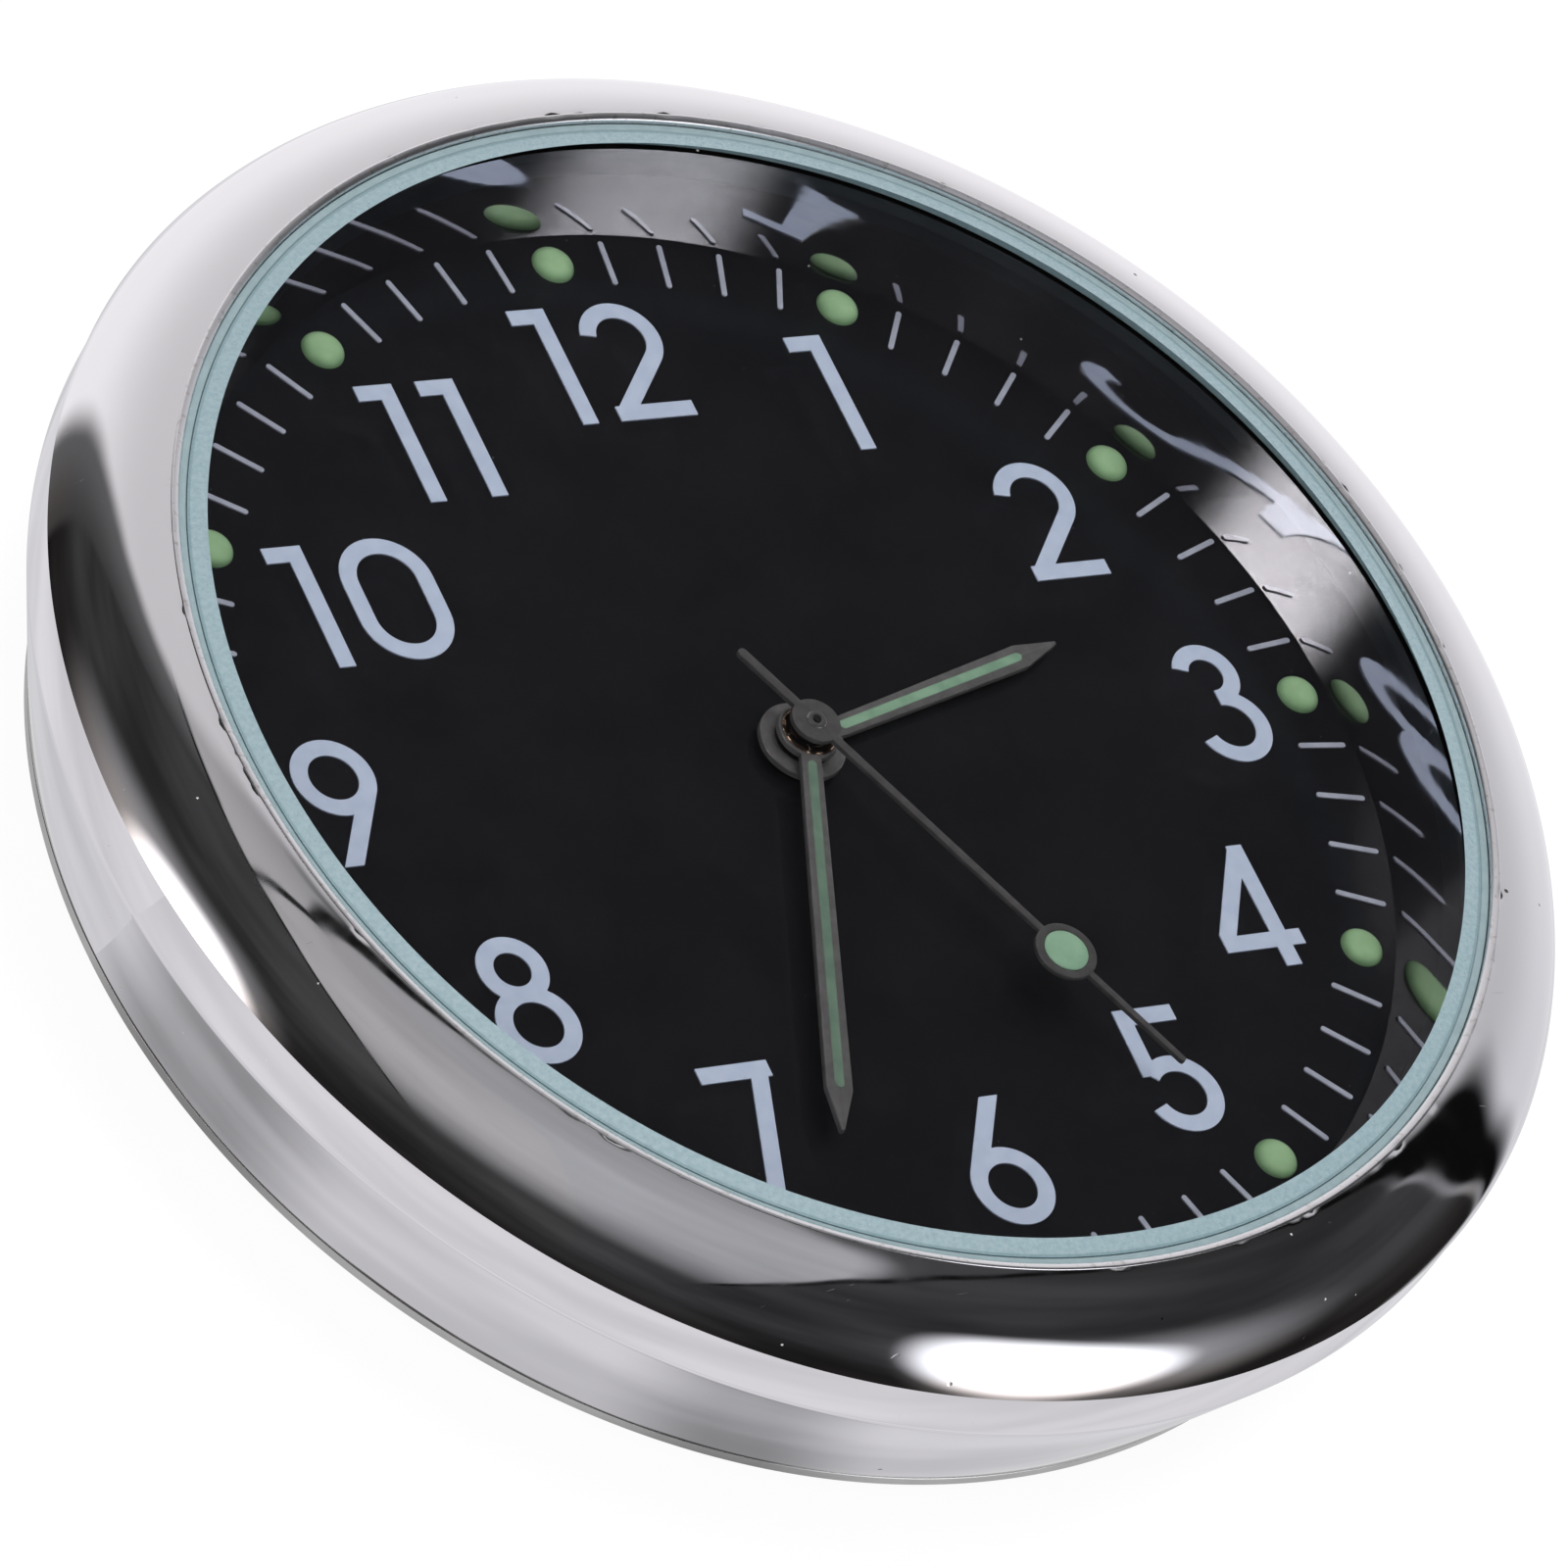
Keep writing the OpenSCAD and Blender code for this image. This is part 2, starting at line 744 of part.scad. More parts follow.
module dial() {
    color("#1b1b1d") {
        tube(dial_z, dial_top, dial_r, dial_hole_r);
        for (p = foot_pins) translate(p) rod(dial_z - foot_pin_l, dial_z + dial_t / 2, foot_pin_r);
    }
}

module hour_dots() {
    color("#8fc088") for (i = [0 : 11])
        translate(concat(polar(dot_ring_r, 30 * i), dial_top)) domed_disc(dot_d / 2, dot_h);
}

module minute_track() {
    color("#c4ccd8") translate([0, 0, dial_top]) linear_extrude(print_t)
        for (i = [0 : 59])
            if (i % 5 != 0) rotate(6 * i) {
                translate([dot_ring_r - mark_l / 2, -mark_w / 2]) square([mark_l, mark_w]);
                for (s = [-1, 1]) translate([dot_ring_r + s * mark_l / 2, 0]) circle(mark_w / 2);
            }
}

module numerals() {
    color("#b4bfd2") translate([0, 0, dial_top]) linear_extrude(print_t)
        for (hour = [1 : 12]) {
            towards = polar(1, 90 - 30 * hour);
            translate(towards * numeral_distance(towards.x, towards.y, numeral_width(hour)))
                numeral(hour);
        }
}

module movement_ring() {
    color("#e4e2da") difference() {
        rod(ring_z, dial_z, bore_r - run_gap);
        translate([0, 0, ring_z - over]) linear_extrude(dial_z) plate_outline(pocket_gap);
        translate([0, -crown_notch / 2, ring_z - over])
            cube([crown_x + crown_l + pull + crown_room, crown_notch, dial_z]);
    }
}

module main_plate() {
    floor_hole_r = pivot_r + run_gap / 2;
    color("#c8b98a") difference() {
        union() {
            difference() {
                translate([0, 0, back_z]) linear_extrude(dial_z - back_z) plate_outline(0);
                plate_train_pockets();
                plate_motor_pockets();
                plate_motion_recess();
            }
            for (p = [minute_at, setting_at]) translate(p) rod(recess_z - floor_t / 2, washer_z, stud_r);
        }
        plate_stem_room();
        rod(back_z, dial_z, cannon_r + run_gap);
        for (p = [third_at, inter_at, rotor_at])
            translate(p) rod(train_top - over, train_top + pivot_l + run_gap, floor_hole_r);
        for (p = foot_pins)
            translate(p) rod(dial_z - foot_pin_l - pocket_gap, dial_z + over, foot_pin_r + run_gap);
        for (p = concat(bridge_screws, clip_screws))
            translate(p) rod(back_z - over, back_z + screw_l + pocket_gap, screw_r + set_gap);
    }
}

module plate_train_pockets() {
    translate([0, 0, back_z - over]) linear_extrude(train_room + over) {
        circle(centre_tip + wheel_room);
        translate(third_at) circle(third_tip + wheel_room);
        translate(inter_at) circle(tip_radius(inter_teeth, rotor_mod) + wheel_room);
    }
    translate(concat(rotor_at, back_z - over)) cylinder(h = train_room + over, r = stator_hole_r);
}

module plate_motor_pockets() {
    bed = coil_d + 2 * wheel_room;
    coil_top = core_z + core_t / 2 + coil_d / 2 + pocket_gap;
    translate([0, 0, back_z - over]) linear_extrude(stator_z + stator_t - back_z + over)
        stator_outline(pocket_gap);
    translate([-coil_l / 2 - pocket_gap, coil_y - bed / 2, back_z - over])
        cube([coil_l + 2 * pocket_gap, bed, coil_top - back_z + over]);
    translate([-core_l / 2 - pocket_gap, coil_y - core_w / 2 - pocket_gap, back_z - over])
        cube([core_l + 2 * pocket_gap, core_w + 2 * pocket_gap, core_z + core_t - back_z + over]);
    translate(concat(cell_at, back_z - over))
        cylinder(h = cell_z + cell_h - back_z + over, r = cell_r + pocket_gap);
    translate([can_x - can_d / 2 - pocket_gap, -can_l / 2 - pocket_gap, back_z - over])
        cube([can_d + 2 * pocket_gap, can_l + 2 * pocket_gap, can_d + pocket_gap + over]);
}

module plate_motion_recess() {
    translate([0, 0, recess_z]) linear_extrude(motion_room + over) {
        circle(tip_radius(hour_teeth, hour_mod) + wheel_room);
        translate(minute_at) circle(tip_radius(minute_teeth, cannon_mod) + wheel_room);
        translate(setting_at) circle(tip_radius(setting_teeth, cannon_mod) + wheel_room);
    }
}

module plate_stem_room() {
    side = clutch_d + 2 * wheel_room;
    translate([clutch_x - pocket_gap, -side / 2, back_z - over])
        cube([clutch_l + 2 * pocket_gap, side, stem_z + side / 2 - back_z + over]);
    translate([clutch_end, 0, stem_z]) rotate([0, 90, 0])
        cylinder(h = plate_edge, r = stem_d / 2 + run_gap);
    translate([clutch_x - pilot_l - pocket_gap, 0, stem_z]) rotate([0, 90, 0])
        cylinder(h = pilot_l + 2 * pocket_gap, r = pilot_d / 2 + run_gap);
}

module train_bridge() {
    color("#d6c48c") translate([0, 0, back_z - bridge_t]) difference() {
        linear_extrude(bridge_t) bridge_outline();
        for (p = [[0, 0], third_at, inter_at, rotor_at])
            translate(concat(p, -over)) cylinder(h = bridge_t + 2 * over, r = pivot_r + run_gap / 2);
        for (p = bridge_screws)
            translate(concat(p, -over)) cylinder(h = bridge_t + 2 * over, r = screw_r + set_gap);
    }
}

// Slotted screw whose head's upper face lies at z and whose shank points up
module slotted_screw(z) {
    translate([0, 0, z]) difference() {
        union() {
            translate([0, 0, -head_h]) cylinder(h = head_h, r = head_r);
            cylinder(h = back_z + screw_l - z, r = screw_r);
        }
        translate([-head_r - over, -screw_slot / 2, -head_h - over])
            cube([2 * head_r + 2 * over, screw_slot, head_h / 2 + over]);
    }
}

module plate_screws() {
    color("#b9b4a4") {
        for (p = bridge_screws) translate(p) rotate(30) slotted_screw(back_z - bridge_t);
        for (p = clip_screws) translate(p) rotate(70) slotted_screw(clip_z);
    }
}

module stator() {
    color("#9d9a94") translate([0, 0, stator_z]) linear_extrude(stator_t) difference() {
        stator_outline(0);
        translate(rotor_at) circle(stator_hole_r);
    }
}

module coil_core() {
    color("#8e8a84") translate([-core_l / 2, coil_y - core_w / 2, core_z]) cube([core_l, core_w, core_t]);
}

module coil_winding() {
    color("#a4572c") translate([0, coil_y, core_z + core_t / 2]) difference() {
        translate([-coil_l / 2, 0, 0]) rotate([0, 90, 0]) cylinder(h = coil_l, r = coil_d / 2);
        cube([coil_l + over, core_w + 2 * set_gap, core_t + 2 * set_gap], center = true);
    }
}

module circuit_board() {
    color("#2f6b45") translate([-board_edge, board_low, back_z - board_t])
        cube([board_edge + board_x, board_high - board_low, board_t]);
}

module chip() {
    color("#141414") translate([(board_x - board_edge) / 2, chip_y, back_z - board_t])
        rotate([180, 0, 0]) domed_disc(chip_r, chip_h);
}

module quartz_can() {
    color("#c4c4c8") translate([can_x, -can_l / 2, back_z + can_d / 2 + set_gap])
        rotate([-90, 0, 0]) cylinder(h = can_l, r = can_d / 2);
}

module battery() {
    step = 0.35;
    lid_inset = 0.5;
    color("#cfcfcc") translate(concat(cell_at, cell_z)) {
        translate([0, 0, step]) cylinder(h = cell_h - step, r = cell_r);
        cylinder(h = cell_h / 2, r = cell_r - lid_inset);
    }
}

module battery_clip() {
    color("#d2ae5a") difference() {
        union() {
            translate(concat(clip_screws[0] - [0, clip_w / 2], clip_z))
                cube([clip_screws[1].x - clip_screws[0].x, clip_w, clip_t]);
            for (p = clip_screws) translate(p) rod(clip_z, back_z, clip_w / 2);
        }
        for (p = clip_screws) translate(p) rod(movement_z, back_z + over, screw_r + set_gap);
    }
}

module dial_washer() {
    color("#c9a24e") tube(washer_z, washer_z + washer_t, hour_tube_r + washer_w, hour_tube_r + run_gap);
}

module hour_hand() {
    color("#6b6b6b") clock_turn(hour_angle) baton(hour_l, hour_hub_d, hour_tube_r + set_gap, hour_z);
}

module hour_lume() {
    color("#86b890") clock_turn(hour_angle) translate([0, 0, hour_z + lume_proud])
        linear_extrude(hand_t) baton_strip(hour_l, hour_hub_d, 0);
}

module hour_wheel() {
    color("#d0ae5c") difference() {
        union() {
            gear(hour_wheel_z, wheel_t, hour_teeth, hour_mod, hour_wheel_tooth);
            rod(hour_wheel_z, hour_z + hand_t + tube_proud, hour_tube_r);
        }
        rod(hour_wheel_z - over, hour_z + hand_t + tube_proud + over, cannon_r + run_gap);
    }
}

module minute_hand() {
    color("#6b6b6b") clock_turn(minute_angle)
        baton(minute_l, minute_hub_d, cannon_r + set_gap, minute_z);
}

module minute_lume() {
    color("#86b890") clock_turn(minute_angle) translate([0, 0, minute_z + lume_proud])
        linear_extrude(hand_t) baton_strip(minute_l, minute_hub_d, 0);
}

module cannon_pinion() {
    top = minute_z + hand_t + tube_proud;
    color("#b79a5a") difference() {
        union() {
            gear(minute_wheel_z, wheel_t, cannon_leaves, cannon_mod, minute_dir);
            rod(level(4) - wheel_gap / 3, top, cannon_r);
        }
        rod(back_z, top + over, second_r + run_gap);
    }
}

module centre_wheel() {
    color("#d0ae5c") difference() {
        gear(level(4), wheel_t, centre_teeth, centre_mod, third_dir);
        rod(level(4) - over, level(4) + wheel_t + over, cannon_r + set_gap);
    }
}

module second_hand() {
    tail_w = second_w * 1.1;
    tip_w = second_w * 0.7;
    bore_r = second_tip_r + set_gap;
    color("#6b6b6b") clock_turn(second_angle) {
        translate([0, 0, second_z]) linear_extrude(second_t) difference() {
            union() {
                circle(second_hub_d / 2);
                polygon([
                    [0, -second_w / 2],
                    [second_l, -tip_w / 2],
                    [second_l, tip_w / 2],
                    [0, second_w / 2]
                ]);
                translate([-tail_l + tail_w / 2, -tail_w / 2]) square([tail_l - tail_w / 2, tail_w]);
                translate([-tail_l + tail_w / 2, 0]) circle(tail_w / 2);
                translate([disc_at, 0]) circle(disc_d / 2);
            }
            circle(bore_r);
            translate([disc_at, 0]) circle(disc_lume_d / 2 + set_gap);
        }
        tube(second_z - pipe_room, second_z + second_t / 2, second_r + pipe_wall, bore_r);
    }
}

module second_lume() {
    crown = 0.1;
    color("#86b890") clock_turn(second_angle) translate([disc_at, 0, second_z + lume_proud]) {
        cylinder(h = second_t, r = disc_lume_d / 2);
        translate([0, 0, second_t]) domed_disc(disc_lume_d / 2, crown);
    }
}

module seconds_wheel() {
    color("#d0ae5c") {
        gear(level(2), wheel_t, seconds_teeth, inter_mod, inter_dir);
        gear(
            level(2), level(3) + wheel_t + leaf_proud - level(2), seconds_leaves, third_mod,
            seconds_pinion_tooth
        );
        rod(back_z - pivot_l, level(2), pivot_r);
        rod(back_z + run_gap, second_z - hand_gap, second_r);
        rod(level(2), second_z + second_t + tube_proud, second_tip_r);
    }
}

module third_wheel() {
    color("#d0ae5c") translate(third_at) {
        gear(level(3), wheel_t, third_teeth, third_mod, third_wheel_tooth);
        train_arbor(level(3), level(4) + wheel_t + leaf_proud, third_leaves, centre_mod, third_pinion_tooth);
    }
}

module intermediate_wheel() {
    color("#d0ae5c") translate(inter_at) {
        gear(level(1), wheel_t, inter_teeth, rotor_mod, rotor_dir);
        train_arbor(level(1), level(2) + wheel_t + leaf_proud, inter_leaves, inter_mod, inter_pinion_tooth);
    }
}

module rotor_pinion() {
    color("#c8c0a8") translate(rotor_at)
        train_arbor(
            level(1) - leaf_proud, level(1) + wheel_t + leaf_proud, rotor_teeth, rotor_mod, rotor_tooth
        );
}

module rotor_magnet() {
    color("#5a5a60") translate(rotor_at)
        tube(magnet_z, magnet_z + magnet_h, magnet_d / 2, arbor_r + set_gap);
}

module minute_wheel() {
    color("#d0ae5c") translate(minute_at) difference() {
        union() {
            gear(minute_wheel_z, wheel_t, minute_teeth, cannon_mod, minute_wheel_tooth);
            gear(
                minute_wheel_z, hour_wheel_z + wheel_t - minute_wheel_z, minute_leaves, hour_mod,
                minute_dir + 180
            );
        }
        rod(minute_wheel_z - over, washer_z + over, stud_r + run_gap / 2);
    }
}

module setting_wheel() {
    color("#c2b48a") translate(setting_at) difference() {
        gear(minute_wheel_z, wheel_t, setting_teeth, cannon_mod, setting_tooth);
        rod(minute_wheel_z - over, washer_z, stud_r + run_gap / 2);
    }
}

module clutch_pinion() {
    teeth = 16;
    color("#a8a49a") translate([clutch_x, 0, stem_z]) rotate([0, 90, 0]) difference() {
        union() {
            linear_extrude(clutch_l * 0.4)
                gear_outline(teeth, clutch_d / (teeth + 2 * addendum), 0);
            cylinder(h = clutch_l, r = clutch_d / 2 * 0.75);
        }
        cube([square_w + 2 * run_gap, square_w + 2 * run_gap, 3 * clutch_l], center = true);
    }
}

module stem() {
    color("#b0b0ac") translate([0, 0, stem_z]) rotate([0, 90, 0]) {
        rod(clutch_x - pilot_l, clutch_x, pilot_d / 2);
        translate([-square_w / 2, -square_w / 2, clutch_x - pocket_gap])
            cube([square_w, square_w, clutch_l + 4 * pocket_gap]);
        rod(clutch_end + 2 * pocket_gap, crown_x + crown_l * 0.6, stem_d / 2);
    }
}

module crown() {
    ridges = 24;
    color("#c4c4c0") translate([crown_x, 0, stem_z]) rotate([0, 90, 0]) difference() {
        union() {
            linear_extrude(crown_l * 0.85)
                gear_outline(ridges, crown_d / (ridges + 2 * addendum), 0);
            cylinder(h = crown_l, r = crown_d / 2 * 0.82);
        }
        translate([0, 0, -over]) cylinder(h = crown_l * 0.6 + set_gap + over, r = stem_d / 2 + set_gap);
    }
}

adhesive_pad();
back_cover();
cover_seal();
case();
crystal();
crystal_gasket();
dial();
hour_dots();
minute_track();
numerals();
movement_ring();
main_plate();
train_bridge();
plate_screws();
stator();
coil_core();
coil_winding();
circuit_board();
chip();
quartz_can();
battery();
battery_clip();
dial_washer();
hour_hand();
hour_lume();
hour_wheel();
minute_hand();
minute_lume();
cannon_pinion();
centre_wheel();
second_hand();
second_lume();
seconds_wheel();
third_wheel();
intermediate_wheel();
rotor_pinion();
rotor_magnet();
minute_wheel();
setting_wheel();
clutch_pinion();
stem();
crown();
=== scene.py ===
"""Stick-on dashboard clock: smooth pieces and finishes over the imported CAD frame.

Sizes are in millimetres and go into the meshes as metres. The clock lies on its back: +Z is the
hand axis, +X points to 3 o'clock and +Y to 12 o'clock.
"""

import json
import math

import bmesh
import bpy
import numpy as np
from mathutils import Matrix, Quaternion, Vector

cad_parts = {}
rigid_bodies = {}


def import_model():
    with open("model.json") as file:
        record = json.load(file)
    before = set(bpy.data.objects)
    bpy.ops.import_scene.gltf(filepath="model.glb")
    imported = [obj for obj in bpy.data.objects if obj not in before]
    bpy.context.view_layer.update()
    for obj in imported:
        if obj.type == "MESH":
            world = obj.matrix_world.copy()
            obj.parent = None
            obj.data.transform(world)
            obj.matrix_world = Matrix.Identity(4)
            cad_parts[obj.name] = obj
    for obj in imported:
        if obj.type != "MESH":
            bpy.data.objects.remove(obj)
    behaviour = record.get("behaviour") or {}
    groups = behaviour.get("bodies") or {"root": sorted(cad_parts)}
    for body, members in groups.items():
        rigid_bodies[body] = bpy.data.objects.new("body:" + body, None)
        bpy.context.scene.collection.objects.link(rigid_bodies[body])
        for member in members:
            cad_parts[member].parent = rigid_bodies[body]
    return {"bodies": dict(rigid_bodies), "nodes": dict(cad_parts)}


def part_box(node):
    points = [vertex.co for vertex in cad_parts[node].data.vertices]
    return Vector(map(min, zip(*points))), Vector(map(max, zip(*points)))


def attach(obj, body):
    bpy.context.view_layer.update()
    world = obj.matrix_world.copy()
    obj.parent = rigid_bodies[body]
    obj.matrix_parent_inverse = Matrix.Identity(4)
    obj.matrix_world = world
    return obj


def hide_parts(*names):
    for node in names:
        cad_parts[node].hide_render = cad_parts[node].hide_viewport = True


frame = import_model()
kept = set(frame["bodies"].values()) | set(frame["nodes"].values())
for start_object in [o for o in bpy.data.objects if o not in kept]:
    bpy.data.objects.remove(start_object)
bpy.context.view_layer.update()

MM = 0.001
TAU = 2 * math.pi


def node_box(node):
    """Lowest and highest corner of a CAD node, in millimetres."""
    low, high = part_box(node)
    return np.array(low) / MM, np.array(high) / MM


# Fits, as in the part
SET_GAP = 0.01
RUN_GAP = 0.04

# Mounting pad and back cover
pad_low, pad_high = node_box("adhesive_pad")
pad_r = pad_high[0]
PAD_EDGE = 0.16
PAD_BULGE = 0.06
PAD_SIDE_R = 0.4
cover_low, cover_high = node_box("back_cover")
foot_r = cover_high[0]
COLLAR_W = 0.9
NOTCH_AT = math.radians(60)
NOTCH_W = 4.0
NOTCH_DEPTH = 0.8
NOTCH_ROOM = 0.3
RIM_STEP = 0.002
COVER_EDGE = 0.05
COLLAR_EDGE = 0.06
seal_low, seal_high = node_box("cover_seal")
seal_section_r = (seal_high[2] - seal_low[2]) / 2
seal_r = seal_high[0] - seal_section_r

# Case
case_low, case_high = node_box("case")
edge_r = case_high[0]
foot_z = case_low[2]
crest_z = case_high[2]
BAND_H = 1.52
BAND_INSET = 0.03
DOME_H = 1.91
DOME_W = 2.55
SEAT_INSET = 0.08
LIP_IN = 0.17
LIP_OUT = 0.05
LIP_RISE = 0.03
LIP_DROP = 0.09
LIP_IN_START = 102
LIP_IN_END = 175
LIP_OUT_END = 72
NICKS = 46
NICK_ANGLES = (0.003, 0.014)
NICK_DEPTHS = (0.004, 0.022)
NICK_REACH = 0.1
DOME_START = 87
FLANGE_LEAN = 0.6
FLANGE_BOW = 0.08
GLASS_LEDGE = 0.42
FOOT_EDGE = 0.1
BORE_EDGE = 0.03
EDGE_SOFT = 0.01
CREASE_SOFT = 0.5
band_r = edge_r - BAND_INSET
edge_z = crest_z - DOME_H
crease_z = edge_z - BAND_H
crest_r = edge_r - DOME_W
dome_top = crest_z - LIP_RISE
dome_r = (DOME_W ** 2 + (DOME_H - LIP_RISE) ** 2) / (2 * (DOME_H - LIP_RISE))
seat_r = crest_r - SEAT_INSET
lip_r = seat_r + LIP_IN
flange_r = seat_r - GLASS_LEDGE
view_r = flange_r - FLANGE_LEAN
bore_r = node_box("movement_ring")[1][0] + RUN_GAP

# Glass and its gasket
glass_low, glass_high = node_box("crystal")
GLASS_SPREAD = 0.1
glass_r = glass_high[0] + GLASS_SPREAD
glass_z = glass_low[2]
glass_top = glass_high[2]
BEVEL_W = 0.48
BEVEL_H = 0.1
GASKET_FOOT = 0.03
GASKET_ROUND = 0.06

# Dial
dial_top = node_box("dial")[1][2]
dots_high = node_box("hour_dots")[1]
DOT_R = 0.575
dot_ring_r = dots_high[0] - DOT_R
dot_top = dots_high[2]

# Hands
hour_z, minute_z, second_z = (node_box(n)[1][2] for n in ("hour_hand", "minute_hand", "second_hand"))
HAND_T = 0.18
SECOND_T = 0.15
HOUR_L = 8.9
MINUTE_L = 12.2
SECOND_L = 12.3
TAIL_L = 2.6
HAND_W = 0.7
ROOT_W = 0.54
POINT_L = 1.25
STRIP_W = 0.28
STRIP_START = 0.12
STRIP_PROUD = 0.02
STRIP_EDGE = 0.05
TIP_HALF = 0.045
HOUR_HUB_R = 1.15
MINUTE_RIM_R = 0.82
COLLET_R = 0.74
COLLET_H = 0.07
COLLET_EDGE = 0.1
COLLET_NOTCH = 0.06
SECOND_HUB_R = 0.65
EYELET_R = 0.26
EYELET_H = 0.03
EYELET_SUNK = 0.05
HOUR_BORE_R = 0.76
MINUTE_BORE_R = 0.46
SECOND_BORE_R = 0.11
SECOND_W = 0.24
NEEDLE_SUNK = 0.012
NEEDLE_EDGE = 0.02
DISC_AT = 8.35
DISC_R = 0.825
DISC_LUME_R = 0.59
DROP_SUNK = 0.02
RING_FOOT = (0.01, 0.02)
RING_ROUND = (0.04, 0.05)
PIPE_R = 0.3
PIPE_H = 0.1
PIPE_EDGE = 0.02
BLADE_EDGE = 0.035


def aim(node):
    """Angle from +X to the middle of a CAD node, seen from above."""
    low, high = node_box(node)
    return math.atan2(low[1] + high[1], low[0] + high[0])


# Mesh tools

def shell(points, rows_close=False, columns_close=True, slot=0):
    """Closed or open sheet from a grid of points: each cell of the grid is one quad."""
    rows, columns = points.shape[:2]
    i, j = np.meshgrid(
        np.arange(rows if rows_close else rows - 1),
        np.arange(columns if columns_close else columns - 1),
        indexing="ij",
    )
    up, along = (i + 1) % rows, (j + 1) % columns
    quads = np.stack([i * columns + j, i * columns + along, up * columns + along, up * columns + j], -1)
    slots = np.broadcast_to(np.asarray(slot).reshape(-1, 1), i.shape)
    return points.reshape(-1, 3), quads.reshape(-1, 4), slots.reshape(-1)


def show(name, data):
    """New object in the scene."""
    made = bpy.data.objects.new(name, data)
    bpy.context.scene.collection.objects.link(made)
    return made


def piece(name, shells, materials, body, replaced, sharp=20):
    """One object made of shells: quads go in by foreach_set, doubles at poles and seams are merged,
    faces are turned outwards, and edges sharper than an angle stay crisp."""
    starts = np.cumsum([0] + [len(s[0]) for s in shells])
    points = np.concatenate([s[0] for s in shells]) * MM
    quads = np.concatenate([s[1] + start for s, start in zip(shells, starts)])
    slots = np.concatenate([s[2] for s in shells])
    mesh = bpy.data.meshes.new(name)
    mesh.vertices.add(len(points))
    mesh.vertices.foreach_set("co", points.astype(np.float32).ravel())
    mesh.loops.add(quads.size)
    mesh.loops.foreach_set("vertex_index", quads.astype(np.int32).ravel())
    mesh.polygons.add(len(quads))
    mesh.polygons.foreach_set("loop_start", np.arange(0, quads.size, 4, dtype=np.int32))
    mesh.polygons.foreach_set("material_index", slots.astype(np.int32))
    mesh.update(calc_edges=True)
    merge = bmesh.new()
    merge.from_mesh(mesh)
    bmesh.ops.remove_doubles(merge, verts=merge.verts, dist=1e-8)
    bmesh.ops.dissolve_degenerate(merge, edges=merge.edges, dist=1e-9)
    bmesh.ops.recalc_face_normals(merge, faces=merge.faces)
    merge.to_mesh(mesh)
    merge.free()
    mesh.shade_smooth()
    mesh.set_sharp_from_angle(angle=math.radians(sharp))
    for material in materials:
        mesh.materials.append(material)
    made = show(name, mesh)
    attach(made, body)
    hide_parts(*replaced)
    return made


def rounded(corners, steps=8):
    """Outline through corners (x, y, radius): a corner with a radius becomes an arc that touches both
    of its sides, found by turning the start's offset from the arc's centre into the end's."""
    spots = np.array([c[:2] for c in corners], float)
    run = []
    for k, corner in enumerate(corners):
        spot, radius = spots[k], corner[2]
        if radius == 0:
            run.append(spot[None])
            continue
        back = spots[k - 1] - spot
        on = spots[(k + 1) % len(spots)] - spot
        back, on = back / np.linalg.norm(back), on / np.linalg.norm(on)
        half = math.acos(np.clip(back @ on, -1, 1)) / 2
        middle = spot + (back + on) / np.linalg.norm(back + on) * radius / math.sin(half)
        start, end = (spot + side * radius / math.tan(half) - middle for side in (back, on))
        sweep = math.pi - 2 * half
        share = np.linspace(0, 1, steps + 1)[:, None]
        from_start, to_end = np.sin((1 - share) * sweep), np.sin(share * sweep)
        run.append(middle + (from_start * start + to_end * end) / math.sin(sweep))
    return np.concatenate(run)


def braced(outline, reach=0.03, closed=True):
    """Outline with two more points on each long straight side, close to its ends, so that smooth
    shading stays flat between them."""
    ends = np.roll(outline, -1, axis=0)
    if not closed:
        ends[-1] = outline[-1]
    length = np.linalg.norm(ends - outline, axis=1, keepdims=True)
    long = length[:, 0] > 5 * reach
    step = np.where(length > 0, (ends - outline) / np.maximum(length, 1e-9), 0) * reach
    points = np.stack([outline, outline + step, ends - step], 1)
    keep = np.stack([np.ones_like(long), long, long], 1)
    return points[keep]


def arc(middle, radius, start, end, steps):
    """Points of an arc, angles in degrees."""
    turn = np.radians(np.linspace(start, end, steps + 1))
    return np.stack([middle[0] + radius * np.cos(turn), middle[1] + radius * np.sin(turn)], -1)


def turned(profile, steps=360, at=(0, 0), closed=True, slot=0):
    """Turned surface: each profile point (r, z) goes round the axis through at,
    x = r cos(turn), y = r sin(turn)."""
    turn = np.linspace(0, TAU, steps, endpoint=False)
    r, z = profile[:, 0, None], profile[:, 1, None]
    points = np.stack([at[0] + r * np.cos(turn), at[1] + r * np.sin(turn), z + 0 * turn], -1)
    return shell(points, rows_close=closed, slot=slot)


def placed(made, angle):
    """A shell turned by an angle about Z."""
    points, quads, slots = made
    c, s = math.cos(angle), math.sin(angle)
    return points @ np.array([[c, s, 0], [-s, c, 0], [0, 0, 1]]), quads, slots


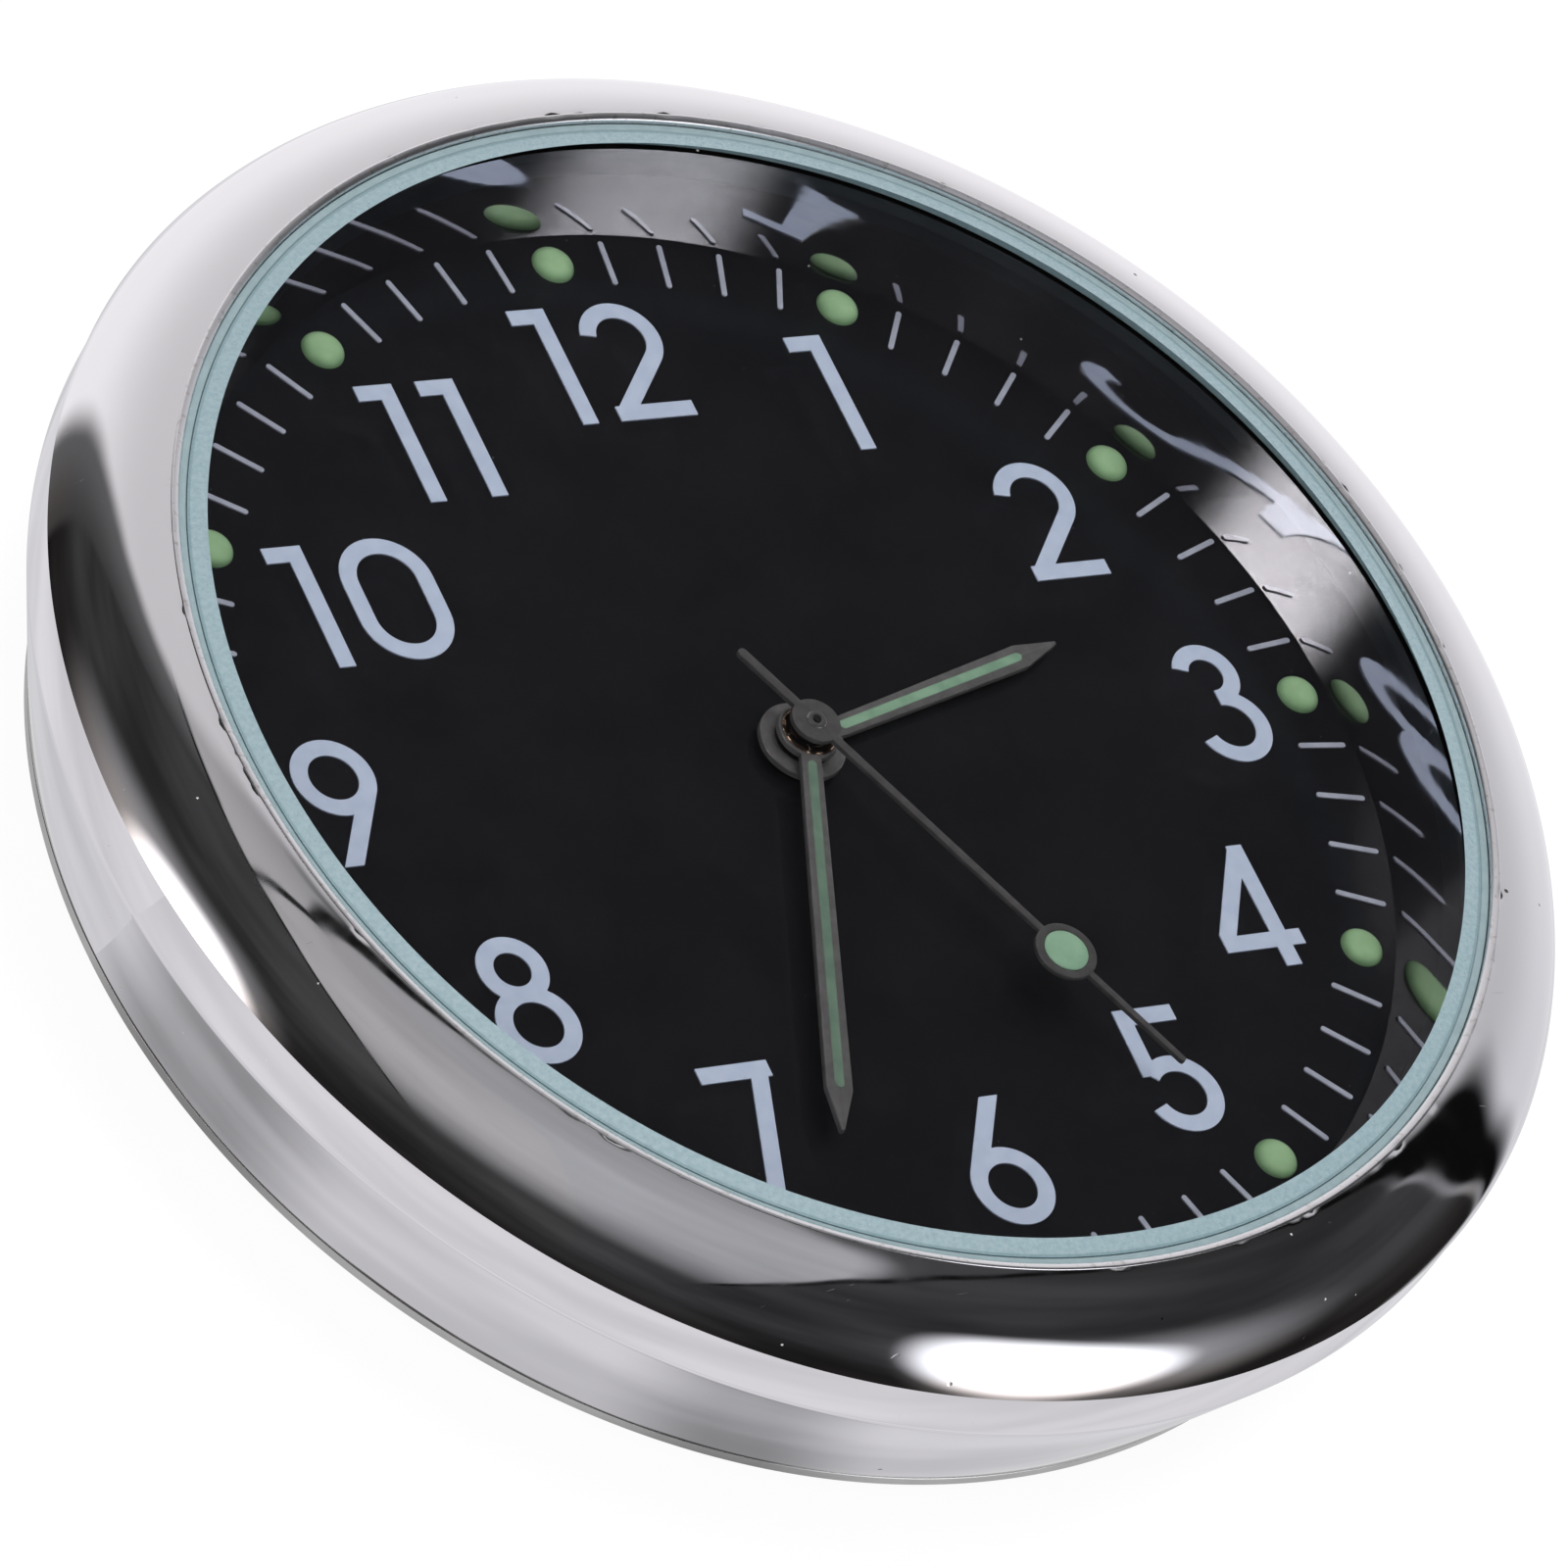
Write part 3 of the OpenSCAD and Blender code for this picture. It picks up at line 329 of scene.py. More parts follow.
def blade(stations, halves, low, high, edge):
    """Flat bar along +X: at each station a section with rounded upper edges is as wide as that
    station's half width says, and the two ends shrink to a point."""
    quarter = np.linspace(0, math.pi / 2, 5)
    lift = np.concatenate([[0], high - low - edge + edge * np.sin(quarter)])
    inset = np.concatenate([[0], edge * (1 - np.cos(quarter))])
    wide = np.concatenate([-np.ones(6), np.ones(6)])
    inset = np.concatenate([inset, inset[::-1]])
    rise = np.concatenate([lift, lift[::-1]])
    half = np.asarray(halves)[:, None]
    across = wide * np.maximum(half - inset, half * 0.2)
    x = np.broadcast_to(np.asarray(stations)[:, None], across.shape)
    z = np.broadcast_to(low + rise, across.shape)
    body = np.stack([x, across, z], -1)
    ends = [np.broadcast_to(body[k].mean(0), (1,) + body.shape[1:]) for k in (0, -1)]
    return shell(np.concatenate([ends[0], body, ends[1]]))


# Materials

class Finish:
    """A material, or the world, as a tree of nodes. Patterns read Object coordinates in millimetres."""

    def __init__(self, owner):
        owner.use_nodes = True
        self.owner = owner
        self.nodes = owner.node_tree.nodes
        self.links = owner.node_tree.links
        self.nodes.clear()
        self.where = None

    def put(self, socket, value):
        """Links a socket to another, or sets its value."""
        if isinstance(value, bpy.types.NodeSocket):
            self.links.new(value, socket)
        else:
            socket.default_value = value

    def node(self, kind, out=0, settings=None, **values):
        """Adds a node; settings are its properties and values its inputs, by name or by _number."""
        made = self.nodes.new("ShaderNode" + kind)
        for key, value in (settings or {}).items():
            setattr(made, key, value)
        for key, value in values.items():
            socket = made.inputs[int(key[1:])] if key[0] == "_" else made.inputs[key.replace("_", " ")]
            self.put(socket, value)
        return made if out is None else made.outputs[out]

    def place(self):
        """Position on the object, in millimetres."""
        if self.where is None:
            spot = self.node("TexCoord", "Object")
            self.where = self.node("VectorMath", settings={"operation": "SCALE"}, Vector=spot, Scale=1 / MM)
        return self.where

    def stretched(self, scale, turn=(0, 0, 0)):
        """Position with each axis scaled, for grain that runs one way."""
        return self.node("Mapping", Vector=self.place(), Scale=scale, Rotation=turn)

    def axis(self, name):
        """One coordinate of the position."""
        return self.node("SeparateXYZ", name, Vector=self.place())

    def radius(self):
        """Distance from the hand axis."""
        flat = self.node("VectorMath", settings={"operation": "MULTIPLY"}, _0=self.place(), _1=(1, 1, 0))
        return self.node("VectorMath", 1, settings={"operation": "LENGTH"}, _0=flat)

    def math(self, operation, a, b=0.0):
        return self.node("Math", settings={"operation": operation}, _0=a, _1=b)

    def chain(self, operation, first, *others):
        for other in others:
            first = self.math(operation, first, other)
        return first

    def times(self, *values):
        return self.chain("MULTIPLY", *values)

    def plus(self, *values):
        return self.chain("ADD", *values)

    def minus(self, a, b):
        return self.math("SUBTRACT", a, b)

    def ramp(self, value, low, high, first=0.0, last=1.0):
        """Smooth step from first to last while the value goes from low to high."""
        return self.node(
            "MapRange", settings={"interpolation_type": "SMOOTHSTEP"},
            _0=value, _1=low, _2=high, _3=first, _4=last,
        )

    def fall(self, value, low, high):
        """Smooth step from 1 down to 0."""
        return self.ramp(value, low, high, 1.0, 0.0)

    def window(self, value, low, high, soft):
        """1 between low and high, falling softly to 0 outside."""
        rise = self.ramp(value, low - soft, low + soft)
        return self.times(rise, self.fall(value, high - soft, high + soft))

    def noise(self, scale, detail=3.0, rough=0.5, where=None):
        spot = where or self.place()
        return self.node("TexNoise", Vector=spot, Scale=scale, Detail=detail, Roughness=rough)

    def spread(self, noise, first=0.0, last=1.0):
        """Smooth step over the range where most of a noise lies."""
        return self.ramp(noise, 0.3, 0.7, first, last)

    def cells(self, scale, out="Distance"):
        return self.node("TexVoronoi", out, Vector=self.place(), Scale=scale)

    def mix(self, share, a, b):
        """Colour a where share is 0 and b where it is 1."""
        return self.node("Mix", 2, settings={"data_type": "RGBA"}, _0=share, _6=a, _7=b)

    def bump(self, height, depth):
        """Relief of that depth in millimetres, where height is 1."""
        return self.node("Bump", Distance=depth * MM, Height=height)

    def surface(self, **values):
        """Principled surface as the tree's output."""
        return self.output(self.node("BsdfPrincipled", **values))

    def output(self, made, kind="OutputMaterial"):
        """Ends the tree and gives its owner back."""
        self.node(kind, None, Surface=made)
        return self.owner


def rgb(*values):
    """Linear colour of an sRGB colour given in 0 to 255."""
    v = np.array(values) / 255
    linear = np.where(v <= 0.04045, v / 12.92, ((v + 0.055) / 1.055) ** 2.4)
    return (*linear.tolist(), 1.0)


def darker(colour, share):
    """Colour with a share of its light."""
    return tuple(c * share for c in colour[:3]) + (1.0,)


WHITE = (1.0, 1.0, 1.0, 1.0)


def material(name):
    return Finish(bpy.data.materials.new(name))


def worn_chrome():
    """Polished plating: slow waves in the polish, sparse pits, hairline scratches, smudges, dust, patchy
    painted shade along the foot seam, a lip that has lost some of its shine, and painted shade on the
    flange, which is a darker copy of the plating."""
    f = material("worn_chrome")
    wave = f.noise(0.3, 1.0)
    chosen = f.ramp(f.node("SeparateColor", 0, Color=f.cells(0.9, "Color")), 0.86, 0.9)
    pits = f.times(f.fall(f.cells(0.9), 0.03, 0.07), chosen)
    grain = f.noise(1.0, 2.0, where=f.stretched((0.6, 14.0, 3.0), (0.3, 0.1, 0.8)))
    hair = f.ramp(grain, 0.74, 0.78)
    high = f.ramp(f.axis("Z"), glass_top - 0.5, glass_top - 0.4)
    lip = f.times(f.window(f.radius(), seat_r - 0.1, lip_r + LIP_OUT, 0.02), high)
    rub = f.times(f.ramp(f.noise(6.0, 4.0), 0.56, 0.7), lip)
    tone = f.mix(pits, rgb(240, 238, 240), rgb(120, 114, 110))
    tone = f.mix(f.times(rub, 0.6), tone, rgb(196, 190, 184))
    # Painted shade: patchy dark brown at the bottom of the case, along the seam to the cover
    low = f.fall(f.axis("Z"), foot_z + 0.07, foot_z + 0.13)
    foot_seam_shade = f.times(low, f.ramp(f.noise(0.16, 2.0), 0.36, 0.5))
    tone = f.mix(foot_seam_shade, tone, rgb(62, 48, 42))
    # Painted shade: the flange under the glass gets a darker copy of the chrome tone
    within = f.fall(f.radius(), flange_r, flange_r + 0.05)
    flange = f.times(within, f.fall(f.axis("Z"), glass_z, glass_z + 0.05))
    tone = f.mix(flange, tone, rgb(194, 192, 195))
    smudge = f.ramp(f.noise(0.8, 4.0), 0.35, 0.75, 0.03, 0.075)
    height = f.plus(f.times(wave, 3.0), f.times(pits, -1.5), f.times(hair, -0.12), f.times(rub, -0.1))
    speck = f.ramp(f.node("SeparateColor", 1, Color=f.cells(1.5, "Color")), 0.8, 0.84)
    dust = f.times(f.ramp(f.cells(1.5), 0.035, 0.06, 0.9, 0.0), speck)
    tone = f.mix(dust, tone, rgb(206, 204, 202))
    rough = f.plus(smudge, f.times(lip, 0.26), f.times(hair, 0.06), f.times(dust, 0.5))
    metal = f.minus(1.0, dust)
    return f.surface(Base_Color=tone, Metallic=metal, Roughness=rough, Normal=f.bump(height, 0.004))


def clear_glass():
    """Flat clear glass with a breath of dust."""
    f = material("clear_glass")
    dust = f.ramp(f.cells(1.6), 0.02, 0.035, 0.25, 0.0)
    return f.surface(
        Base_Color=WHITE, Roughness=dust, IOR=1.5, Transmission_Weight=1.0, Specular_IOR_Level=0.4,
    )


def ground_glass():
    """Ground edge of the glass: teal, frosted, with bright grains, darker along its rim."""
    f = material("ground_glass")
    tone = f.mix(f.ramp(f.noise(7.0, 3.0), 0.3, 0.75), rgb(136, 157, 164), rgb(150, 170, 175))
    tone = f.mix(f.ramp(f.cells(5.0), 0.04, 0.08, 0.4, 0.0), tone, rgb(226, 236, 235))
    tone = f.mix(f.ramp(f.radius(), glass_r - 0.09, glass_r - 0.05, 0.0, 0.6), tone, rgb(104, 130, 136))
    return f.surface(
        Base_Color=tone, Roughness=f.spread(f.noise(16.0), 0.26, 0.36), IOR=1.5,
        Specular_IOR_Level=0.35, Normal=f.bump(f.noise(12.0, 2.0), 0.001),
    )


def nylon():
    """Gasket: dull teal grey, as it looks beside the glass."""
    f = material("gasket_nylon")
    tone = f.mix(f.noise(3.0), rgb(122, 142, 146), rgb(148, 166, 170))
    return f.surface(Base_Color=tone, Roughness=0.45, Normal=f.bump(f.noise(6.0), 0.005))


def turned_steel(name, colour, rough, pitch):
    """Metal with fine uneven turning rings about the hand axis, about a pitch wide."""
    f = material(name)
    rings = f.noise(1 / pitch, 3.0, 0.7, where=f.node("CombineXYZ", X=f.radius()))
    share = f.plus(f.times(rings, 0.7), f.times(f.noise(0.9, 4.0), 0.3))
    tone = f.mix(f.ramp(share, 0.35, 0.65), darker(colour, 0.74), colour)
    return f.surface(
        Base_Color=tone, Metallic=1.0, Roughness=f.spread(share, rough * 0.8, rough * 1.25),
        Normal=f.bump(rings, 0.006),
    )


def grained_metal(name, colour, rough, scale=(1.0, 24.0, 6.0), depth=0.003):
    """Metal with straight brushing and slow changes of tone."""
    f = material(name)
    grain = f.noise(2.0, 3.0, where=f.stretched(scale))
    tone = f.mix(f.spread(f.noise(1.4, 4.0)), darker(colour, 0.72), colour)
    return f.surface(
        Base_Color=tone, Metallic=1.0, Roughness=f.spread(grain, rough * 0.75, rough * 1.3),
        Normal=f.bump(grain, depth),
    )


def foam():
    """Closed-cell foam: small round cells, open where they are cut."""
    f = material("black_foam")
    cell = f.cells(5.5)
    tone = f.mix(f.ramp(cell, 0.1, 0.6), rgb(24, 24, 25), rgb(56, 56, 58))
    return f.surface(Base_Color=tone, Roughness=0.95, Normal=f.bump(f.plus(cell, f.noise(14.0)), 0.05))


def rubber():
    f = material("black_rubber")
    tone = f.mix(f.noise(4.0), rgb(20, 20, 20), rgb(38, 37, 36))
    return f.surface(Base_Color=tone, Roughness=0.6, Normal=f.bump(f.noise(12.0), 0.004))


def black_lacquer():
    """Dial paint: satin black with an even, fine orange peel."""
    f = material("black_lacquer")
    tone = f.mix(f.spread(f.noise(0.5, 4.0)), rgb(17, 17, 20), rgb(21, 21, 24))
    tone = f.mix(f.ramp(f.cells(1.1), 0.012, 0.02, 0.25, 0.0), tone, rgb(90, 92, 96))
    return f.surface(
        Base_Color=tone, Roughness=f.spread(f.noise(2.5, 3.0), 0.17, 0.23),
        Normal=f.bump(f.noise(5.0, 2.0), 0.0015),
    )


def print_ink(name, thin, full):
    """Screen print: a little uneven, from where the ink lies thin to where it is full."""
    f = material(name)
    tone = f.mix(f.spread(f.noise(2.2, 4.0, 0.6)), thin, full)
    return f.surface(Base_Color=tone, Roughness=0.2, Normal=f.bump(f.noise(9.0), 0.003))


def luminous_paint():
    """Luminous paint: soft green, with a painted highlight making each drop lighter on top, grainy."""
    f = material("luminous_paint")
    # Painted highlight: each drop is coloured lighter towards its top, as light falls on a dome
    top = f.ramp(f.axis("Z"), dial_top + 0.05, dot_top, 0.0, 0.85)
    blotch = f.spread(f.noise(1.8, 4.0), -0.15, 0.15)
    tone = f.mix(f.plus(top, blotch), rgb(106, 138, 101), rgb(158, 192, 149))
    return f.surface(
        Base_Color=tone, Roughness=0.55, Subsurface_Weight=0.15,
        Subsurface_Radius=(0.2 * MM, 0.3 * MM, 0.2 * MM), Normal=f.bump(f.noise(14.0), 0.008),
    )


def strip_paint(name, dull, fresh):
    """Luminous filling of the hands: bluer than the dots, between a dull and a fresh tone."""
    f = material(name)
    tone = f.mix(f.spread(f.noise(1.6, 4.0)), dull, fresh)
    return f.surface(Base_Color=tone, Roughness=0.55, Normal=f.bump(f.noise(14.0), 0.006))


def moulded_plastic(name, colour, rough=0.45):
    f = material(name)
    tone = f.mix(f.spread(f.noise(0.7, 4.0)), darker(colour, 0.85), colour)
    return f.surface(Base_Color=tone, Roughness=rough, Normal=f.bump(f.noise(10.0, 2.0), 0.004))


def hand_plate(name, dull, rubbed):
    """Grey plated hands: dull, faintly mottled, a little brighter where rubbed."""
    f = material(name)
    tone = f.mix(f.ramp(f.noise(3.0, 5.0, 0.6), 0.3, 0.75), dull, rubbed)
    return f.surface(
        Base_Color=tone, Metallic=0.6, Roughness=f.spread(f.noise(5.0), 0.36, 0.5),
        Normal=f.bump(f.noise(9.0, 3.0), 0.003),
    )


def wound_wire():
    """Enamelled copper wire: clear varnish over a warm metal, darker here and there."""
    f = material("wound_wire")
    tone = f.mix(f.spread(f.noise(1.5, 4.0)), rgb(150, 82, 40), rgb(204, 122, 66))
    return f.surface(
        Base_Color=tone, Metallic=0.7, Roughness=f.spread(f.noise(6.0), 0.22, 0.4), Coat_Weight=0.6,
        Normal=f.bump(f.noise(12.0), 0.002),
    )


def board_mask():
    """Green board with copper runs under the mask."""
    f = material("board_mask")
    run = f.ramp(f.math("SINE", f.times(f.axis("X"), TAU / 0.9)), 0.5, 0.7)
    tone = f.mix(run, rgb(28, 86, 52), rgb(50, 120, 74))
    return f.surface(Base_Color=tone, Roughness=0.35, Normal=f.bump(f.plus(run, f.noise(8.0)), 0.01))


chrome = worn_chrome()
glass = clear_glass()
glass_edge = ground_glass()
gasket_nylon = nylon()
hand_grey = hand_plate("hand_plate", rgb(110, 108, 108), rgb(126, 124, 123))
needle_grey = hand_plate("needle_plate", rgb(92, 90, 91), rgb(108, 106, 106))
dot_paint = luminous_paint()
hand_paint = strip_paint("strip_paint", rgb(122, 156, 132), rgb(140, 174, 147))
# Painted shade: the minute hand's filling is a darker copy of the same luminous paint
shaded_minute_paint = strip_paint("shaded_minute_paint", rgb(94, 116, 102), rgb(110, 134, 116))
drop_paint = strip_paint("drop_paint", rgb(140, 178, 150), rgb(157, 193, 163))
cover_steel = turned_steel("cover_steel", rgb(206, 205, 202), 0.28, 0.12)
black_foam = foam()
black_rubber = rubber()
wheel_brass = turned_steel("wheel_brass", rgb(214, 180, 104), 0.3, 0.1)
hub_bronze = turned_steel("hub_bronze", rgb(128, 106, 90), 0.14, 0.1)
ring_steel = turned_steel("ring_steel", rgb(190, 188, 186), 0.3, 0.06)
plate_brass = grained_metal("plate_brass", rgb(206, 184, 132), 0.34)
bright_steel = grained_metal("bright_steel", rgb(196, 195, 190), 0.28)

CAD_FINISHES = {
    black_lacquer(): ["dial"],
    print_ink("numeral_ink", rgb(171, 182, 203), rgb(181, 191, 210)): ["numerals"],
    print_ink("track_ink", rgb(146, 149, 162), rgb(160, 163, 176)): ["minute_track"],
    moulded_plastic("ring_plastic", rgb(226, 223, 212)): ["movement_ring"],
    plate_brass: ["main_plate", "train_bridge"],
    wheel_brass: [
        "battery_clip", "dial_washer", "centre_wheel", "third_wheel", "intermediate_wheel", "minute_wheel",
    ],
    hub_bronze: ["hour_wheel", "cannon_pinion"],
    grained_metal("dark_steel", rgb(88, 86, 85), 0.35): ["seconds_wheel"],
    bright_steel: ["plate_screws", "rotor_pinion", "setting_wheel", "clutch_pinion", "stem", "crown"],
    grained_metal("annealed_iron", rgb(150, 147, 142), 0.42): ["stator", "coil_core"],
    board_mask(): ["circuit_board"],
    moulded_plastic("chip_resin", rgb(26, 26, 27), 0.35): ["chip"],
    grained_metal("dark_magnet", rgb(104, 104, 108), 0.4): ["rotor_magnet"],
}
for finish, nodes in CAD_FINISHES.items():
    for node in nodes:
        mesh = frame["nodes"][node].data
        mesh.materials.clear()
        mesh.materials.append(finish)


# Case, cover and pad

def case_profile():
    """Section of the case: foot, leaning skirt, soft crease, straight band, domed bezel as one arc,
    the lip as two bits of ellipse, a narrow outer and a wide inner one, the glass seat, and
    the flange, which leans and is a little hollow: radius = foot radius + lean x ((1 + bow) share - bow
    share^2) with the share of its height."""
    dome_foot = 90 - math.degrees(math.asin(DOME_W / dome_r))
    dome = arc((crest_r, dome_top - dome_r), dome_r, dome_foot, DOME_START, 40)
    lip_out = arc((0, 0), 1, 0, LIP_OUT_END, 10)
    lip_in = arc((0, 0), 1, LIP_IN_START, LIP_IN_END, 20)
    lip_out = (lip_out - lip_out[-1]) * (LIP_OUT, LIP_RISE) / np.ptp(lip_out, axis=0)
    lip_in = (lip_in - lip_in[0]) * (LIP_IN, LIP_DROP) / np.ptp(lip_in, axis=0)
    lip = np.concatenate([lip_out, lip_in[1:]]) + (lip_r, crest_z)
    share = np.linspace(1, 0, 12)
    flange = np.stack([
        view_r + FLANGE_LEAN * ((1 + FLANGE_BOW) * share - FLANGE_BOW * share ** 2),
        dial_top + (glass_z - dial_top) * share,
    ], -1)
    corners = [
        (bore_r, foot_z, BORE_EDGE),
        (foot_r, foot_z, FOOT_EDGE),
        (band_r, crease_z, CREASE_SOFT),
        (band_r, edge_z - 2 * EDGE_SOFT, EDGE_SOFT),
        *[(r, z, 0) for r, z in dome],
        *[(r, z, 0) for r, z in lip],
        (seat_r, glass_z, 0),
        *[(r, z, 0) for r, z in flange],
        (bore_r, dial_top, 0),
    ]
    return braced(rounded(corners), closed=False)


def nicked_lip(made):
    """The turned case with small nicks along its lip: each nick is a bell in the angle round the
    clock, and sinks the lip where the profile is near the lip's middle."""
    points, quads, slots = made
    dice = np.random.default_rng(7)
    spots = dice.uniform(0, TAU, NICKS)
    widths = dice.uniform(*NICK_ANGLES, NICKS)
    depths = dice.uniform(*NICK_DEPTHS, NICKS)
    r = np.hypot(points[:, 0], points[:, 1])
    turn = np.arctan2(points[:, 1], points[:, 0])
    away = (turn[:, None] - spots + math.pi) % TAU - math.pi
    sink = (depths * np.exp(-(away / widths) ** 2)).sum(1)
    near = np.exp(-((r - lip_r) / NICK_REACH) ** 2) * (points[:, 2] > glass_top - BEVEL_H)
    sunk = points.copy()
    sunk[:, 2] -= sink * near
    return sunk, quads, slots


piece("chrome_case", [nicked_lip(turned(case_profile(), 640))], [chrome], "clock", ["case"], 14)

glass_rows = np.array([
    (0, glass_z), (glass_r, glass_z), (glass_r, glass_top - BEVEL_H),
    (glass_r - BEVEL_W, glass_top), (0, glass_top),
])
crystal = piece(
    "flat_crystal", [turned(glass_rows, 480, closed=False, slot=[0, 1, 1, 0])], [glass, glass_edge],
    "clock", ["crystal"], 5,
)
crystal.visible_shadow = False

gasket_out = seat_r - SET_GAP
gasket_in = glass_r + SET_GAP
gasket_top = glass_top - BEVEL_H
gasket_profile = rounded([
    (gasket_in, glass_z, GASKET_FOOT), (gasket_out, glass_z, GASKET_FOOT),
    (gasket_out, gasket_top, GASKET_ROUND), (gasket_in, gasket_top, GASKET_ROUND),
])
piece("glass_gasket", [turned(gasket_profile, 480)], [gasket_nylon], "clock", ["crystal_gasket"])


def cover_shell():
    """Back cover: a plate with a grooved collar, turned, with a pry notch where the lower half of the
    rim is cut straight across."""
    collar_r = bore_r - RUN_GAP
    groove_r = bore_r - 2 * seal_section_r - 2 * SET_GAP
    groove_h = seal_section_r + SET_GAP
    groove_z = (seal_low[2] + seal_high[2]) / 2
    middle_z = (cover_low[2] + foot_z) / 2
    corners = [
        (0, cover_low[2], 0),
        (foot_r - NOTCH_DEPTH - NOTCH_ROOM, cover_low[2], 0),
        (foot_r, cover_low[2], COVER_EDGE),
        (foot_r, middle_z - RIM_STEP, 0),
        (foot_r, middle_z, 0),
        (foot_r, foot_z, COVER_EDGE),
        (collar_r, foot_z, 0),
        (collar_r, groove_z - groove_h, 0),
        (groove_r, groove_z - groove_h, 0),
        (groove_r, groove_z + groove_h, 0),
        (collar_r, groove_z + groove_h, 0),
        (collar_r, cover_high[2], COLLAR_EDGE),
        (collar_r - COLLAR_W, cover_high[2], COLLAR_EDGE),
        (collar_r - COLLAR_W, foot_z, 0),
        (0, foot_z, 0),
    ]
    points, quads, slots = turned(rounded(corners), 720, closed=False)
    r = np.hypot(points[:, 0], points[:, 1])
    turn = np.arctan2(points[:, 1], points[:, 0]) - NOTCH_AT
    limit = (foot_r - NOTCH_DEPTH) / np.maximum(np.cos(turn), 0.1)
    inside = (np.abs(turn) < math.asin(NOTCH_W / 2 / foot_r)) & (points[:, 2] < middle_z - RIM_STEP / 2)
    share = np.where(inside & (r > limit), limit / np.maximum(r, 1e-9), 1)[:, None]
    return points * np.concatenate([share, share, np.ones_like(share)], 1), quads, slots


piece("snap_cover", [cover_shell()], [cover_steel], "base", ["back_cover"])
seal_profile = arc((seal_r, (seal_low[2] + seal_high[2]) / 2), seal_section_r, 0, 360, 24)[:-1]
piece(
    "cover_seal_ring", [turned(seal_profile, 360)], [black_rubber], "base", ["cover_seal"], 60,
)

pad_rows = rounded([
    (0, pad_low[2], 0),
    (pad_r - PAD_BULGE, pad_low[2], PAD_EDGE),
    (pad_r, (pad_low[2] + pad_high[2]) / 2, PAD_SIDE_R),
    (pad_r - PAD_BULGE, pad_high[2], PAD_EDGE),
    (0, pad_high[2], 0),
])
pad = piece(
    "foam_pad", [turned(pad_rows, 300, closed=False)], [black_foam], "base", ["adhesive_pad"], 60,
)


# Dial furniture

def dome(r, low, high, at):
    """Small domed drop: a flat foot, then height = full height times (1 - (radius share)^2.6)^0.55."""
    share = np.concatenate([[0, 0.6, 0.95], np.cos(np.linspace(0, math.pi / 2, 16))])
    rise = np.concatenate([np.zeros(3), (1 - np.cos(np.linspace(0, math.pi / 2, 16)) ** 2.6) ** 0.55])
    return turned(np.stack([r * share, low + (high - low) * rise], -1), 40, at, closed=False)


spots = np.radians(30 * np.arange(12))
piece(
    "hour_drops",
    [
        dome(DOT_R, dial_top, dot_top, (dot_ring_r * math.cos(a), dot_ring_r * math.sin(a)))
        for a in spots
    ],
    [dot_paint], "clock", ["hour_dots"], 60,
)


# Hands

def plate(outline, bore, low, high, edge):
    """Flat plate with a round hole on the hand axis: each outline point is joined to the point of the
    hole in the same direction, and the upper edge is rounded by drawing the outline in by
    edge (1 - cos) while it rises by edge sin."""
    along = np.roll(outline, -1, axis=0) - np.roll(outline, 1, axis=0)
    inward = np.stack([-along[:, 1], along[:, 0]], -1) / np.linalg.norm(along, axis=1, keepdims=True)
    hole = bore * outline / np.linalg.norm(outline, axis=1, keepdims=True)
    quarter = np.linspace(0, math.pi / 2, 5)
    drawn = outline + inward * (edge * (1 - np.cos(quarter)))[:, None, None]
    flat = np.concatenate([[hole, outline], drawn, [hole]])
    rise = np.concatenate([[low, low], high - edge + edge * np.sin(quarter), [high]])
    rise = np.broadcast_to(rise[:, None, None], flat.shape[:2] + (1,))
    return shell(np.concatenate([flat, rise], -1), rows_close=True)


def hand_outline(length, hub_r):
    """Outline of a hand: the hub's circle, then a blade that widens to its shoulder and runs to a
    blunt point."""
    start = math.asin(ROOT_W / 2 / hub_r)
    circle = arc((0, 0), hub_r, math.degrees(start), 360 - math.degrees(start), 90)
    shoulder = length - POINT_L
    along = np.concatenate([
        np.linspace(hub_r * math.cos(start), shoulder, 14)[1:], np.linspace(shoulder, length, 8)[1:],
    ])
    half = np.interp(along, [0, shoulder, length], [ROOT_W / 2, HAND_W / 2, TIP_HALF])
    side = np.stack([along, half], -1)
    return np.concatenate([circle, side * (1, -1), side[::-1]])


def strip(length, hub_r, high):
    """Luminous filling: a low pillow with half-round ends."""
    start, end = hub_r + STRIP_START, length - POINT_L
    half = STRIP_W / 2
    nose = half * (1 - np.cos(np.linspace(0, math.pi / 2, 7)))
    along = np.concatenate([start + nose, end - nose[::-1]])
    inward = np.minimum(along - start, end - along)
    nosed = np.sqrt(np.maximum(half ** 2 - np.minimum(half, inward - half) ** 2, 0))
    wide = np.maximum(np.where(inward < half, nosed, half), 0.01)
    return blade(along, wide, high - HAND_T + STRIP_PROUD, high + STRIP_PROUD, STRIP_EDGE)


hour_aim, minute_aim, second_aim = aim("hour_lume"), aim("minute_lume"), aim("second_lume")
hour_plate = plate(hand_outline(HOUR_L, HOUR_HUB_R), HOUR_BORE_R, hour_z - HAND_T, hour_z, BLADE_EDGE)
piece("hour_baton", [placed(hour_plate, hour_aim)], [hand_grey], "hour", ["hour_hand"], 30)
piece(
    "hour_filling", [placed(strip(HOUR_L, HOUR_HUB_R, hour_z), hour_aim)],
    [hand_paint], "hour", ["hour_lume"], 40,
)


